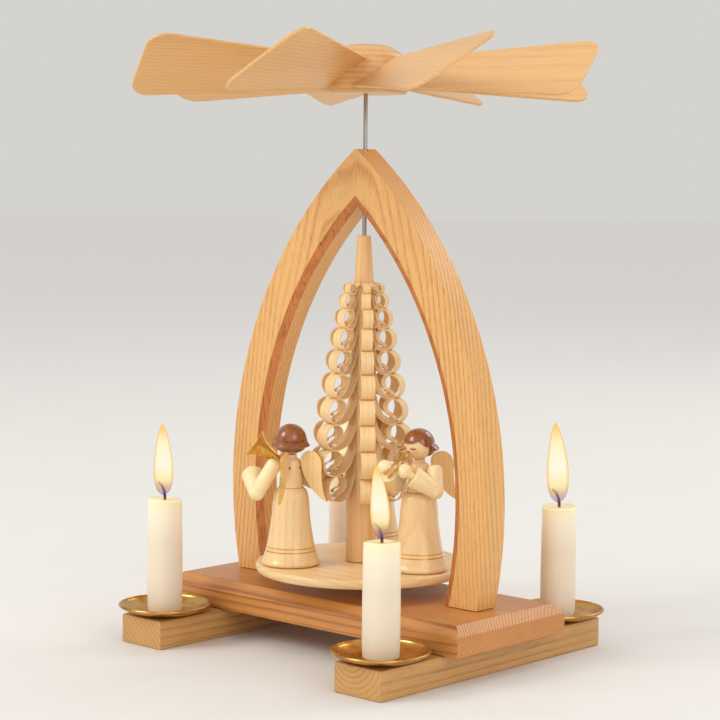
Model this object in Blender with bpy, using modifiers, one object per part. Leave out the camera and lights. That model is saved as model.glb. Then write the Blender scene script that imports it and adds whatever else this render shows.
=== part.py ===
"""A table Christmas pyramid: warm air from four candles turns a wing wheel, and with it a plate of angels."""
import math

import bmesh
import bpy
from mathutils import Euler, Matrix, Vector

# Gaps between pieces that touch, and around what sits in a hole or slot
SEAT_GAP = 0.0003
FIT_GAP = 0.0003
MERGE = 0.00001

# Facets round a piece, from the plate's edge down to the pins
WIDE_FACETS = 36
DISH_FACETS = 20
CANDLE_FACETS = 20
FIGURE_FACETS = 16
LIMB_FACETS = 8
BALL_RINGS = 6
PIN_FACETS = 10

# Base: a board on two cross bars
BAR_WIDTH = 0.0236
BAR_HEIGHT = 0.0118
BAR_EASE = 0.0004
BOARD_OVERHANG = 0.0079
BOARD_PAST_ARCH = 0.0095
BOARD_DEPTH = 0.0665
BOARD_THICKNESS = 0.0117
BOARD_CHAMFER = 0.0040

# Pointed arch, sawn from one plank
ARCH_THICKNESS = 0.0115
ARCH_PLATE_GAP = 0.0100
ARCH_RADIUS = 0.1768
ARCH_WALL = 0.0171
ARCH_CROWN = 0.02335
ARCH_SPRING = 0.0387
ARCH_FLAT = 0.0008
ARCH_CHAMFER_FACE = 0.0035
ARCH_CHAMFER_DEPTH = 0.0019
ARCH_STATIONS = 18
DOWEL_RADIUS = 0.0025
DOWEL_IN_ARCH = 0.0090
DOWEL_FLOOR = 0.0027

# Spindle: steel shaft on a glass bearing cup
SHAFT_RADIUS = 0.00085
SHAFT_POINT = 0.0040
CUP_RADIUS = 0.0040
CUP_HEIGHT = 0.0048
CUP_DIMPLE = 0.0015
CUP_DIMPLE_RADIUS = 0.0018
CUP_STANDS_PROUD = 0.0008

# Turning plate
PLATE_THICKNESS = 0.0040
PLATE_LIFT = 0.0070
PLATE_ROUNDING = 0.0012

# Shaved wooden tree
TREE_POST_RADIUS = 0.0065
TREE_POST_HEIGHT = 0.0255
TREE_SHOULDER_RADIUS = 0.0041
TREE_TIP_RADIUS = 0.00275
TREE_TIP_HEIGHT = 0.0195
TREE_CROWN_GAP = 0.01155
TREE_FACETS = 12
TREE_COLUMNS = 6
TREE_CURLS = 10
TREE_START = math.radians(20.0)
SHAVING_THICKNESS = 0.0007
SHAVING_ROOT = 0.0006
SHAVING_TOP_WIDTH = 0.0030
SHAVING_LOW_WIDTH = 0.0058
CURL_TOP_PITCH = 0.0040
CURL_LOW_PITCH = 0.0108
CURL_PITCH_EASE = 0.66
CURL_TOP_REACH = 0.0086
CURL_BELLY_REACH = 0.0208
CURL_LOW_REACH = 0.0180
CURL_BELLY = 0.87
CURL_FILL = 0.43
CURL_STANDOFF = 0.0005
CURL_ROOT_RISE = 0.60
CURL_ROOT_DROP = 0.30
CURL_ROOT_LEAN = 0.12
CURL_FIRST_ANGLE = math.radians(245.0)
CURL_LAST_ANGLE = math.radians(570.0)
CURL_TIGHTENING = 0.52
CURL_STEPS = 5

# Wing wheel
HUB_RADIUS = 0.0168
HUB_TOP_RADIUS = 0.0157
HUB_HEIGHT = 0.0150
HUB_DOME = 0.0050
HUB_DOME_STEPS = 4
HUB_LIFT = 0.0222
HUB_BORE_DEPTH = 0.0110
BLADE_COUNT = 8
BLADE_START = math.radians(18.6)
BLADE_PITCH = math.radians(33.3)
BLADE_RADIUS = 0.0943
BLADE_ROOT_DEPTH = 0.0060
BLADE_RAISE = 0.0095
BLADE_THICKNESS = 0.0012
BLADE_TIP_WIDTH = 0.0420
BLADE_ROOT_LOW = 0.0125
BLADE_ROOT_HIGH = 0.0070
BLADE_CORNER = 0.0080
BLADE_CORNER_STEPS = 4

# Candles on brass drip trays, each on a spike
TRAY_INSET = 0.01315
TRAY_BOARD_GAP = 0.0019
TRAY_RADIUS = 0.0191
TRAY_FLOOR_RADIUS = 0.0110
TRAY_DEPTH = 0.0035
TRAY_BELLY = 0.35
TRAY_WALL = 0.0006
SPIKE_RADIUS = 0.0009
SPIKE_POINT = 0.0027
SPIKE_FLOOR = 0.0040
SPIKE_IN_CANDLE = 0.0080
CANDLE_RADIUS = 0.0070
CANDLE_POOL_RADIUS = 0.0042
CANDLE_RIM = 0.0007
CANDLE_DISH = 0.0010
CANDLE_HEIGHTS = {"front_left": 0.0473, "front_right": 0.0445, "back_left": 0.0490, "back_right": 0.0460}
WICK_RADIUS = 0.0006
WICK_HEIGHT = 0.0075
WICK_BEND = ((0.0, 0.0), (0.03, 0.35), (0.12, 0.65), (0.30, 0.90), (0.42, 1.0))

# Angels, each facing +X with its left hand at +Y
ANGEL_START = math.radians(1.6)
ANGEL_NAMES = ("flute_angel", "piper_angel", "horn_angel")
ANGEL_TURNS = {"flute_angel": 0.0, "piper_angel": 0.0, "horn_angel": math.radians(6.0)}
ANGEL_MARGIN = 0.0010
ANGEL_TREE_GAP = 0.0097
DRESS_RADIUS = 0.0119
DRESS_HEIGHT = 0.0315
DRESS_FLARE = ((0.05, 0.22), (0.14, 0.37), (0.38, 0.50), (0.64, 0.65), (0.82, 0.82), (0.95, 0.98), (1.0, 1.0))
WAIST_RADIUS = 0.0050
TORSO_RADIUS = 0.0045
TORSO_TOP_RADIUS = 0.0039
TORSO_HEIGHT = 0.0120
NECK_RADIUS = 0.0023
NECK_HEIGHT = 0.0015
HEAD_RADIUS = 0.0057
HEAD_RINGS = 8
MOUTH_DROP = 0.0032
HAIR_WALL = 0.0005
HAIR_BRIM = 0.0013
HAIR_BRIM_TOP = 0.0006
HAIR_BRIM_LOW = 0.0020
HAIR_EDGE = 0.0026
HAIR_TILT = math.radians(-12.0)
SLEEVE_RADIUS = 0.0031
CUFF_RADIUS = 0.0044
HAND_RADIUS = 0.0025
HAND_SHOWS = 1.60
RAISED_HAND_SHOWS = 0.40
WRIST_RADIUS = 0.0015
SHOULDER_DROP = 0.0026
ELBOW_BULGE = 0.0003
ELBOW_FORWARD = 0.0024
ELBOW_SPREAD = 0.0025
ELBOW_RISE = 0.0016
RAISED_ELBOW_FORWARD = 0.0036
RAISED_ELBOW_SPREAD = 0.0057
RAISED_ELBOW_DROP = 0.0023
RAISED_HAND = Vector((0.0103, -0.0023, 0.0067))
WING_THICKNESS = 0.0010
WING_HEIGHT = 0.0203
WING_WIDTH = 0.0100
WING_RISES = {"flute_angel": 0.0050, "piper_angel": 0.0042, "horn_angel": 0.0033}
WING_SPREAD = math.radians(40.0)
WING_SHAPE = ((0.0, -0.14), (0.18, -0.04), (0.46, 0.0), (0.74, -0.05), (0.90, -0.18), (0.93, -0.48), (1.0, -0.72),
              (1.18, -1.0), (0.88, -0.92), (0.52, -0.76), (0.20, -0.54), (0.0, -0.34))
FLUTE_RADIUS = 0.0009
FLUTE_LENGTH = 0.0165
FLUTE_END_RADIUS = 0.00126
FLUTE_LIP_RADIUS = 0.00072
FLUTE_DIP = math.radians(28.0)
FLUTE_GRIPS = {"left": 0.52, "right": 0.76}
FLUTE_HOLDS = {"left": Vector((-0.36, 0.64, -0.68)), "right": Vector((0.12, -0.96, 0.23))}
HORN_BELL_RADIUS = 0.0060
HORN_BELL_LENGTH = 0.0125
HORN_CAVITY = 0.40
HORN_NECK = ((0.0, 0.30), (0.45, 0.42))
HORN_FLARE = ((0.72, 0.57), (0.90, 0.78), (1.0, 1.0))
HORN_TUBE_RADIUS = 0.0013
HORN_TUBE_STEPS = 6
HORN_WALL = 0.0005
HORN_AIM = Vector((0.36, 0.72, 0.58)).normalized()
HORN_FORWARD = 0.0023
HORN_SIDE = 0.0019
HORN_RAISE = 0.0003
HORN_BOW_FORWARD = 0.0031
HORN_BOW_SIDE = 0.0018
HORN_RIGHT_HAND = Vector((0.75, -0.50, -0.43)).normalized()

# Widths that follow outwards from the tree: figures, plate, arch, board and bars
ANGEL_CIRCLE = CURL_BELLY_REACH + ANGEL_TREE_GAP
PLATE_RADIUS = ANGEL_CIRCLE + DRESS_RADIUS + ANGEL_MARGIN
ARCH_INNER_HALF = PLATE_RADIUS + ARCH_PLATE_GAP
ARCH_HALF = ARCH_INNER_HALF + ARCH_WALL
BOARD_LENGTH = 2 * (ARCH_HALF + BOARD_PAST_ARCH)
TRAY_X = BOARD_LENGTH / 2 - BOARD_OVERHANG - BAR_WIDTH / 2
TRAY_Y = BOARD_DEPTH / 2 + TRAY_BOARD_GAP + TRAY_RADIUS
BAR_LENGTH = 2 * (TRAY_Y + TRAY_INSET)

# Heights that follow upwards from the bars
BOARD_BOTTOM = BAR_HEIGHT + SEAT_GAP
BOARD_TOP = BOARD_BOTTOM + BOARD_THICKNESS
ARCH_FOOT = BOARD_TOP + SEAT_GAP
SPRING_Z = BOARD_TOP + ARCH_SPRING
ARCH_CENTRE = ARCH_HALF - ARCH_RADIUS
ARCH_TOP = SPRING_Z + math.sqrt(ARCH_RADIUS ** 2 - (ARCH_FLAT / 2 - ARCH_CENTRE) ** 2)
SOFFIT_TOP = ARCH_TOP - ARCH_CROWN
ARCH_INNER_RADIUS = (ARCH_INNER_HALF ** 2 + (SOFFIT_TOP - SPRING_Z) ** 2) / (2 * ARCH_INNER_HALF)
ARCH_INNER_CENTRE = ARCH_INNER_HALF - ARCH_INNER_RADIUS
BORE_RADIUS = SHAFT_RADIUS + FIT_GAP
CUP_TOP = BOARD_TOP + CUP_STANDS_PROUD
SHAFT_TIP = CUP_TOP - CUP_DIMPLE + SEAT_GAP
PLATE_BOTTOM = BOARD_TOP + PLATE_LIFT
PLATE_TOP = PLATE_BOTTOM + PLATE_THICKNESS
TREE_BOTTOM = PLATE_TOP + SEAT_GAP
TREE_SHAVED_BOTTOM = TREE_BOTTOM + TREE_POST_HEIGHT
TREE_TOP = SOFFIT_TOP - TREE_CROWN_GAP
TREE_SHOULDER = TREE_TOP - TREE_TIP_HEIGHT
TREE_SHAVED_HEIGHT = TREE_SHOULDER - TREE_SHAVED_BOTTOM
HUB_BOTTOM = ARCH_TOP + HUB_LIFT
HUB_TOP = HUB_BOTTOM + HUB_HEIGHT
SHAFT_TOP = HUB_BOTTOM + HUB_BORE_DEPTH - SEAT_GAP
BLADE_Z = HUB_BOTTOM + BLADE_RAISE
BLADE_ROOT = HUB_TOP_RADIUS - BLADE_ROOT_DEPTH
TRAY_BOTTOM = BAR_HEIGHT + SEAT_GAP
TRAY_FLOOR = TRAY_BOTTOM + TRAY_WALL
CANDLE_SEAT = TRAY_FLOOR + SEAT_GAP
SPIKE_HOLE = SPIKE_RADIUS + FIT_GAP
ANGEL_BOTTOM = PLATE_TOP + SEAT_GAP
TORSO_TOP = DRESS_HEIGHT + TORSO_HEIGHT
HEAD_Z = TORSO_TOP + NECK_HEIGHT + SEAT_GAP + HEAD_RADIUS
MOUTH_Z = HEAD_Z - MOUTH_DROP
MOUTH_X = math.sqrt(HEAD_RADIUS ** 2 - MOUTH_DROP ** 2)
SHOULDER_Y = TORSO_RADIUS + FIT_GAP + SLEEVE_RADIUS
SHOULDER_Z = TORSO_TOP - SHOULDER_DROP


# Scene, collections and finishes
for old in list(bpy.data.objects):
    bpy.data.objects.remove(old, do_unlink=True)

parts = bpy.data.collections.new("christmas_pyramid")
cutters = bpy.data.collections.new("cutters")
bpy.context.scene.collection.children.link(parts)
bpy.context.scene.collection.children.link(cutters)


def finish(name, colour, roughness, metallic=0.0):
    """A Principled material of one colour."""
    material = bpy.data.materials.new(name)
    material.use_nodes = True
    shader = material.node_tree.nodes["Principled BSDF"]
    shader.inputs["Base Color"].default_value = (*colour, 1.0)
    shader.inputs["Roughness"].default_value = roughness
    shader.inputs["Metallic"].default_value = metallic
    return material


BASE_WOOD = finish("reddish_board", (0.62, 0.30, 0.10), 0.45)
BAR_WOOD = finish("pale_bars", (0.72, 0.46, 0.19), 0.50)
ARCH_WOOD = finish("golden_arch", (0.78, 0.50, 0.20), 0.42)
LIME_WOOD = finish("pale_turned_wood", (0.86, 0.66, 0.38), 0.38)
VENEER = finish("blade_veneer", (0.80, 0.58, 0.30), 0.50)
STEEL = finish("shaft_steel", (0.60, 0.60, 0.60), 0.25, 1.0)
GLASS = finish("bearing_glass", (0.75, 0.80, 0.78), 0.10)
BRASS = finish("tray_brass", (0.78, 0.57, 0.24), 0.30, 1.0)
WAX = finish("candle_wax", (0.92, 0.86, 0.72), 0.40)
CHAR = finish("wick_char", (0.04, 0.03, 0.03), 0.90)
HAIR = finish("hair_lacquer", (0.36, 0.15, 0.05), 0.25)
CREAM = finish("sleeve_cream", (0.90, 0.82, 0.62), 0.45)
GOLD = finish("instrument_gold", (0.80, 0.58, 0.22), 0.30, 1.0)


def empty(name, place, turn=0.0):
    """A joint axis or a figure's standing point."""
    axis = bpy.data.objects.new(name, None)
    axis.location = place
    axis.rotation_euler = (0.0, 0.0, turn)
    parts.objects.link(axis)
    return axis


def place(name, mesh, material, parent=None):
    """A visible piece made from a mesh."""
    piece = bpy.data.objects.new(name, mesh)
    mesh.materials.append(material)
    piece.parent = parent
    parts.objects.link(piece)
    return piece


def hide_as_cutter(piece):
    """Move a piece to the cutters, so that it only shapes others."""
    parts.objects.unlink(piece)
    cutters.objects.link(piece)
    piece.hide_render = True
    piece.display_type = "WIRE"
    return piece


def combine(piece, tool, operation):
    """Cut a piece with a tool, or join the tool to it."""
    modifier = piece.modifiers.new(operation.lower(), "BOOLEAN")
    modifier.operation = operation
    modifier.solver = "EXACT"
    modifier.object = tool


def turned(name, profile, material, facets, parent=None):
    """A turned solid: (radius, height) pairs, from the top down the outer side."""
    mesh = bpy.data.meshes.new(name)
    edges = [(i, i + 1) for i in range(len(profile) - 1)]
    if profile[0][0] > 0.0:
        edges.append((len(profile) - 1, 0))
    mesh.from_pydata([(radius, 0.0, height) for radius, height in profile], edges, [])
    piece = place(name, mesh, material, parent)
    screw = piece.modifiers.new("turn", "SCREW")
    screw.steps = facets
    screw.render_steps = facets
    screw.use_merge_vertices = True
    screw.merge_threshold = MERGE
    screw.use_smooth_shade = True
    return piece


def from_curve(name, curve, material, parent=None):
    """A mesh piece made from a curve, with its caps welded on."""
    maker = bpy.data.objects.new(name + "_curve", curve)
    bpy.context.scene.collection.objects.link(maker)
    bpy.context.view_layer.update()
    depsgraph = bpy.context.evaluated_depsgraph_get()
    mesh = bpy.data.meshes.new_from_object(maker.evaluated_get(depsgraph))
    bpy.data.objects.remove(maker, do_unlink=True)
    mesh.name = name
    mesh.materials.clear()
    body = bmesh.new()
    body.from_mesh(mesh)
    bmesh.ops.remove_doubles(body, verts=body.verts, dist=MERGE)
    bmesh.ops.recalc_face_normals(body, faces=body.faces)
    body.to_mesh(mesh)
    body.free()
    return place(name, mesh, material, parent)


def flat(name, outline, thickness, material, parent=None):
    """A flat piece: an outline in X and Y, filled, with its thickness along Z."""
    curve = bpy.data.curves.new(name, "CURVE")
    curve.dimensions = "2D"
    curve.fill_mode = "BOTH"
    curve.extrude = thickness / 2
    spline = curve.splines.new("POLY")
    spline.points.add(len(outline) - 1)
    for point, (x, y) in zip(spline.points, outline):
        point.co = (x, y, 0.0, 1.0)
    spline.use_cyclic_u = True
    return from_curve(name, curve, material, parent)


def tube(name, path, radii, material, parent=None):
    """A round tube along a path, with its own radius at each point."""
    curve = bpy.data.curves.new(name, "CURVE")
    curve.dimensions = "3D"
    curve.bevel_depth = max(radii)
    curve.bevel_resolution = 2
    curve.use_fill_caps = True
    spline = curve.splines.new("POLY")
    spline.points.add(len(path) - 1)
    for point, spot, radius in zip(spline.points, path, radii):
        point.co = (*spot, 1.0)
        point.radius = radius / max(radii)
    return from_curve(name, curve, material, parent)


def cylinder(name, radius, low, high, x=0.0, y=0.0):
    """An upright cylinder among the cutters."""
    body = bmesh.new()
    bmesh.ops.create_cone(body, cap_ends=True, segments=FIGURE_FACETS, radius1=radius, radius2=radius, depth=high - low)
    bmesh.ops.translate(body, verts=body.verts, vec=(x, y, (low + high) / 2))
    mesh = bpy.data.meshes.new(name)
    body.to_mesh(mesh)
    body.free()
    return hide_as_cutter(place(name, mesh, STEEL))


def block(name, size, centre, material, bevel, top_only=False):
    """A plank with bevelled edges, on every edge or round its top."""
    body = bmesh.new()
    bmesh.ops.create_cube(body, size=1.0)
    bmesh.ops.scale(body, verts=body.verts, vec=size)
    edges = list(body.edges)
    if top_only:
        edges = [edge for edge in body.edges if all(vert.co.z > 0.0 for vert in edge.verts)]
    bmesh.ops.bevel(body, geom=edges, offset=bevel, segments=1, affect="EDGES")
    bmesh.ops.translate(body, verts=body.verts, vec=centre)
    mesh = bpy.data.meshes.new(name)
    body.to_mesh(mesh)
    body.free()
    return place(name, mesh, material)


def rounded(corner, before, after, radius, steps):
    """Points of an arc that rounds one corner of an outline."""
    corner = Vector(corner)
    back = (Vector(before) - corner).normalized()
    ahead = (Vector(after) - corner).normalized()
    half = back.angle(ahead) / 2
    centre = corner + (back + ahead).normalized() * (radius / math.sin(half))
    start = corner + back * (radius / math.tan(half)) - centre
    end = corner + ahead * (radius / math.tan(half)) - centre
    turn = math.atan2(start.x * end.y - start.y * end.x, start.dot(end))
    return [tuple(centre + Matrix.Rotation(turn * i / steps, 2) @ start) for i in range(steps + 1)]


# Base
board_middle = BOARD_BOTTOM + BOARD_THICKNESS / 2
board = block("base_board", (BOARD_LENGTH, BOARD_DEPTH, BOARD_THICKNESS), (0.0, 0.0, board_middle),
              BASE_WOOD, BOARD_CHAMFER, top_only=True)
for side, sign in (("left", -1), ("right", 1)):
    block("cross_bar_" + side, (BAR_WIDTH, BAR_LENGTH, BAR_HEIGHT), (sign * TRAY_X, 0.0, BAR_HEIGHT / 2),
          BAR_WOOD, BAR_EASE)


def arch_edge(centre, radius, top_x, station):
    """Point of one arch arc, from the foot at station 0 to the given x at the last station."""
    foot_angle = math.asin((ARCH_FOOT - SPRING_Z) / radius)
    top_angle = math.acos((top_x - centre) / radius)
    angle = foot_angle + (top_angle - foot_angle) * station / ARCH_STATIONS
    return centre + radius * math.cos(angle), SPRING_Z + radius * math.sin(angle)


def arch_section(station):
    """One section of the half arch: front face, chamfers, soffit and back face."""
    front = -ARCH_THICKNESS / 2
    shoulder = front + ARCH_CHAMFER_DEPTH
    outer = arch_edge(ARCH_CENTRE, ARCH_RADIUS, ARCH_FLAT / 2, station)
    face = arch_edge(ARCH_INNER_CENTRE, ARCH_INNER_RADIUS + ARCH_CHAMFER_FACE, 0.0, station)
    soffit = arch_edge(ARCH_INNER_CENTRE, ARCH_INNER_RADIUS, 0.0, station)
    ring = [(outer, front), (face, front), (soffit, shoulder)]
    ring += [(edge, -y) for edge, y in reversed(ring)]
    return [Vector((x, y, z)) for (x, z), y in ring]


# Arch: half of it is lofted from its sections, and mirrored at the crown
half_arch = bmesh.new()
sections = [arch_section(station) for station in range(ARCH_STATIONS + 1)]
rings = [[half_arch.verts.new(point) for point in section] for section in sections]
crown_ring = []
for vert, point in zip(rings[-1], sections[-1]):
    crown_ring.append(vert if point.x < MERGE else half_arch.verts.new((0.0, point.y, point.z)))
rings.append(crown_ring)
for low, high in zip(rings, rings[1:]):
    for i in range(len(low)):
        j = (i + 1) % len(low)
        corners = []
        for vert in (low[i], low[j], high[j], high[i]):
            if vert not in corners:
                corners.append(vert)
        if len(corners) > 2:
            half_arch.faces.new(corners)
half_arch.faces.new(reversed(rings[0]))
bmesh.ops.recalc_face_normals(half_arch, faces=half_arch.faces)
arch_mesh = bpy.data.meshes.new("pointed_arch")
half_arch.to_mesh(arch_mesh)
half_arch.free()
arch = place("pointed_arch", arch_mesh, ARCH_WOOD)
mirror = arch.modifiers.new("other_half", "MIRROR")
mirror.use_clip = True
mirror.merge_threshold = MERGE
combine(arch, cylinder("shaft_hole", BORE_RADIUS, SOFFIT_TOP - ARCH_CROWN, ARCH_TOP + ARCH_CROWN), "DIFFERENCE")

# Dowels hold the arch's feet on the board
leg_x = (arch_edge(ARCH_CENTRE, ARCH_RADIUS, ARCH_FLAT / 2, 0)[0]
         + arch_edge(ARCH_INNER_CENTRE, ARCH_INNER_RADIUS, 0.0, 0)[0]) / 2
dowel_low = BOARD_BOTTOM + DOWEL_FLOOR + SEAT_GAP
dowel_high = ARCH_FOOT + DOWEL_IN_ARCH
for side, sign in (("left", -1), ("right", 1)):
    profile = [(0.0, dowel_high), (DOWEL_RADIUS, dowel_high), (DOWEL_RADIUS, dowel_low), (0.0, dowel_low)]
    dowel = turned("arch_dowel_" + side, profile, BAR_WOOD, PIN_FACETS)
    dowel.location.x = sign * leg_x
    hole = cylinder("dowel_hole_" + side, DOWEL_RADIUS + FIT_GAP, dowel_low - SEAT_GAP,
                    dowel_high + SEAT_GAP, x=sign * leg_x)
    combine(arch, hole, "DIFFERENCE")
    combine(board, hole, "DIFFERENCE")

# Bearing cup, let into the board under the shaft's point
cup_low = CUP_TOP - CUP_HEIGHT
cup_profile = [(0.0, CUP_TOP - CUP_DIMPLE), (CUP_DIMPLE_RADIUS, CUP_TOP), (CUP_RADIUS, CUP_TOP),
               (CUP_RADIUS, cup_low), (0.0, cup_low)]
turned("bearing_cup", cup_profile, GLASS, FIGURE_FACETS)
pocket = cylinder("bearing_pocket", CUP_RADIUS + FIT_GAP, cup_low - SEAT_GAP, BOARD_TOP + CUP_HEIGHT)
combine(board, pocket, "DIFFERENCE")

# Spindle
spindle = empty("spindle_axis", (0.0, 0.0, 0.0))
shaft_profile = [(0.0, SHAFT_TOP), (SHAFT_RADIUS, SHAFT_TOP), (SHAFT_RADIUS, SHAFT_TIP + SHAFT_POINT),
                 (0.0, SHAFT_TIP)]
turned("shaft", shaft_profile, STEEL, PIN_FACETS, spindle)

plate_edge = PLATE_RADIUS - PLATE_ROUNDING
plate_profile = [(BORE_RADIUS, PLATE_TOP), (plate_edge, PLATE_TOP), (PLATE_RADIUS, PLATE_TOP - PLATE_ROUNDING),
                 (PLATE_RADIUS, PLATE_BOTTOM + PLATE_ROUNDING), (plate_edge, PLATE_BOTTOM),
                 (BORE_RADIUS, PLATE_BOTTOM)]
turned("turning_plate", plate_profile, LIME_WOOD, WIDE_FACETS, spindle)


# Tree: a turned trunk whose six faces are shaved into rows of curls
def trunk_radius(z):
    """Trunk radius, tapering from the post to the shoulder over the shaved length."""
    share = (z - TREE_SHAVED_BOTTOM) / TREE_SHAVED_HEIGHT
    share = min(1.0, max(0.0, share))
    return TREE_POST_RADIUS + (TREE_SHOULDER_RADIUS - TREE_POST_RADIUS) * share


def curl_reach(share):
    """How far the curls reach from the axis, from the top row at 0 to the lowest row at 1."""
    if share < CURL_BELLY:
        return CURL_TOP_REACH + (CURL_BELLY_REACH - CURL_TOP_REACH) * share / CURL_BELLY
    fall = (share - CURL_BELLY) / (1.0 - CURL_BELLY)
    return CURL_BELLY_REACH + (CURL_LOW_REACH - CURL_BELLY_REACH) * fall


def curl_path(middle, reach, height):
    """A shaving's path in radius and height: off the trunk, down and out, and rolled up inwards."""
    trunk = trunk_radius(middle)
    size = min(height * CURL_FILL, (reach - trunk - CURL_STANDOFF) / 2)
    centre = reach - size
    path = [(trunk - SHAVING_ROOT, middle + CURL_ROOT_RISE * size)]
    path.append((trunk + CURL_ROOT_LEAN * (centre - trunk), middle - CURL_ROOT_DROP * size))
    for step in range(CURL_STEPS + 1):
        share = step / CURL_STEPS
        angle = CURL_FIRST_ANGLE + (CURL_LAST_ANGLE - CURL_FIRST_ANGLE) * share
        roll = size * (1.0 - CURL_TIGHTENING * share)
        path.append((centre + roll * math.cos(angle), middle + roll * math.sin(angle)))
    return path


def ribbon(path, thickness):
    """The closed outline of a strip that follows a path."""
    left = []
    right = []
    for i, spot in enumerate(path):
        ahead = Vector(path[min(i + 1, len(path) - 1)])
        behind = Vector(path[max(i - 1, 0)])
        along = (ahead - behind).normalized()
        side = Vector((-along.y, along.x)) * (thickness / 2)
        left.append(tuple(Vector(spot) + side))
        right.append(tuple(Vector(spot) - side))
    return left + right[::-1]


trunk_profile = [(BORE_RADIUS, TREE_TOP), (TREE_TIP_RADIUS, TREE_TOP), (TREE_SHOULDER_RADIUS, TREE_SHOULDER),
                 (TREE_POST_RADIUS, TREE_SHAVED_BOTTOM), (TREE_POST_RADIUS, TREE_BOTTOM), (BORE_RADIUS, TREE_BOTTOM)]
tree = turned("shaved_tree", trunk_profile, LIME_WOOD, TREE_FACETS, spindle)
shavings = bmesh.new()
pitch_gain = CURL_LOW_PITCH - CURL_TOP_PITCH
pitches = [CURL_LOW_PITCH - pitch_gain * CURL_PITCH_EASE ** row for row in range(TREE_CURLS)]
stretch = TREE_SHAVED_HEIGHT / sum(pitches)
curl_top = TREE_SHOULDER
upright = Matrix.Rotation(math.pi / 2, 4, "X")
for row, pitch in enumerate(pitches):
    share = row / (TREE_CURLS - 1)
    height = pitch * stretch
    width = SHAVING_TOP_WIDTH + (SHAVING_LOW_WIDTH - SHAVING_TOP_WIDTH) * share
    strip = ribbon(curl_path(curl_top - height / 2, curl_reach(share), height), SHAVING_THICKNESS)
    curl = hide_as_cutter(flat("curl_row", strip, width, LIME_WOOD))
    for column in range(TREE_COLUMNS):
        turn = Matrix.Rotation(TREE_START + column * 2 * math.pi / TREE_COLUMNS, 4, "Z")
        row_mesh = curl.data.copy()
        row_mesh.transform(turn @ upright)
        shavings.from_mesh(row_mesh)
        bpy.data.meshes.remove(row_mesh)
    bpy.data.objects.remove(curl, do_unlink=True)
    curl_top -= height
shaving_mesh = bpy.data.meshes.new("shavings")
shavings.to_mesh(shaving_mesh)
shavings.free()
combine(tree, hide_as_cutter(place("shavings", shaving_mesh, LIME_WOOD, spindle)), "UNION")


# Wing wheel: a slotted hub and flat blades set at a slant
def blade_outline(gap):
    """A blade's outline, with a gap all round where it is a slot's cutter."""
    inner = BLADE_ROOT - gap
    root_low = (inner, -BLADE_ROOT_LOW - gap)
    root_high = (inner, BLADE_ROOT_HIGH + gap)
    tip_low = (BLADE_RADIUS, -BLADE_TIP_WIDTH / 2 - gap)
    tip_high = (BLADE_RADIUS, BLADE_TIP_WIDTH / 2 + gap)
    outline = [root_low]
    outline += rounded(tip_low, root_low, tip_high, BLADE_CORNER, BLADE_CORNER_STEPS)
    outline += rounded(tip_high, tip_low, root_high, BLADE_CORNER, BLADE_CORNER_STEPS)
    return outline + [root_high]


hub_profile = [(0.0, HUB_TOP + HUB_DOME)]
for step in range(1, HUB_DOME_STEPS):
    angle = step / HUB_DOME_STEPS * math.pi / 2
    hub_profile.append((HUB_TOP_RADIUS * math.sin(angle), HUB_TOP + HUB_DOME * math.cos(angle)))
hub_profile += [(HUB_TOP_RADIUS, HUB_TOP), (HUB_RADIUS, HUB_BOTTOM), (BORE_RADIUS, HUB_BOTTOM),
                (BORE_RADIUS, HUB_BOTTOM + HUB_BORE_DEPTH), (0.0, HUB_BOTTOM + HUB_BORE_DEPTH)]
hub = turned("wheel_hub", hub_profile, LIME_WOOD, DISH_FACETS, spindle)
for index in range(BLADE_COUNT):
    turn = Euler((BLADE_PITCH, 0.0, BLADE_START + index * 2 * math.pi / BLADE_COUNT))
    blade = flat("blade_%d" % (index + 1), blade_outline(0.0), BLADE_THICKNESS, VENEER, spindle)
    slot = hide_as_cutter(flat("blade_slot_%d" % (index + 1), blade_outline(FIT_GAP),
                               BLADE_THICKNESS + 2 * FIT_GAP, VENEER, spindle))
    for piece in (blade, slot):
        piece.location.z = BLADE_Z
        piece.rotation_euler = turn
    combine(hub, slot, "DIFFERENCE")

# Candles, trays and spikes at the bars' ends
tray_rim = TRAY_FLOOR + TRAY_DEPTH
belly_radius = (TRAY_FLOOR_RADIUS + TRAY_RADIUS) / 2
belly_rise = TRAY_BELLY * TRAY_DEPTH
tray_profile = [(SPIKE_HOLE, TRAY_FLOOR), (TRAY_FLOOR_RADIUS, TRAY_FLOOR), (belly_radius, TRAY_FLOOR + belly_rise),
                (TRAY_RADIUS - 2 * TRAY_WALL, tray_rim - TRAY_WALL), (TRAY_RADIUS - TRAY_WALL, tray_rim),
                (TRAY_RADIUS, tray_rim - TRAY_WALL), (TRAY_RADIUS - TRAY_WALL, tray_rim - 2 * TRAY_WALL),
                (belly_radius, TRAY_BOTTOM + belly_rise), (TRAY_FLOOR_RADIUS, TRAY_BOTTOM), (SPIKE_HOLE, TRAY_BOTTOM)]
spike_low = SPIKE_FLOOR + SEAT_GAP
spike_high = CANDLE_SEAT + SPIKE_IN_CANDLE
spike_profile = [(0.0, spike_high), (SPIKE_RADIUS, spike_high - SPIKE_POINT), (SPIKE_RADIUS, spike_low),
                 (0.0, spike_low)]
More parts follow.
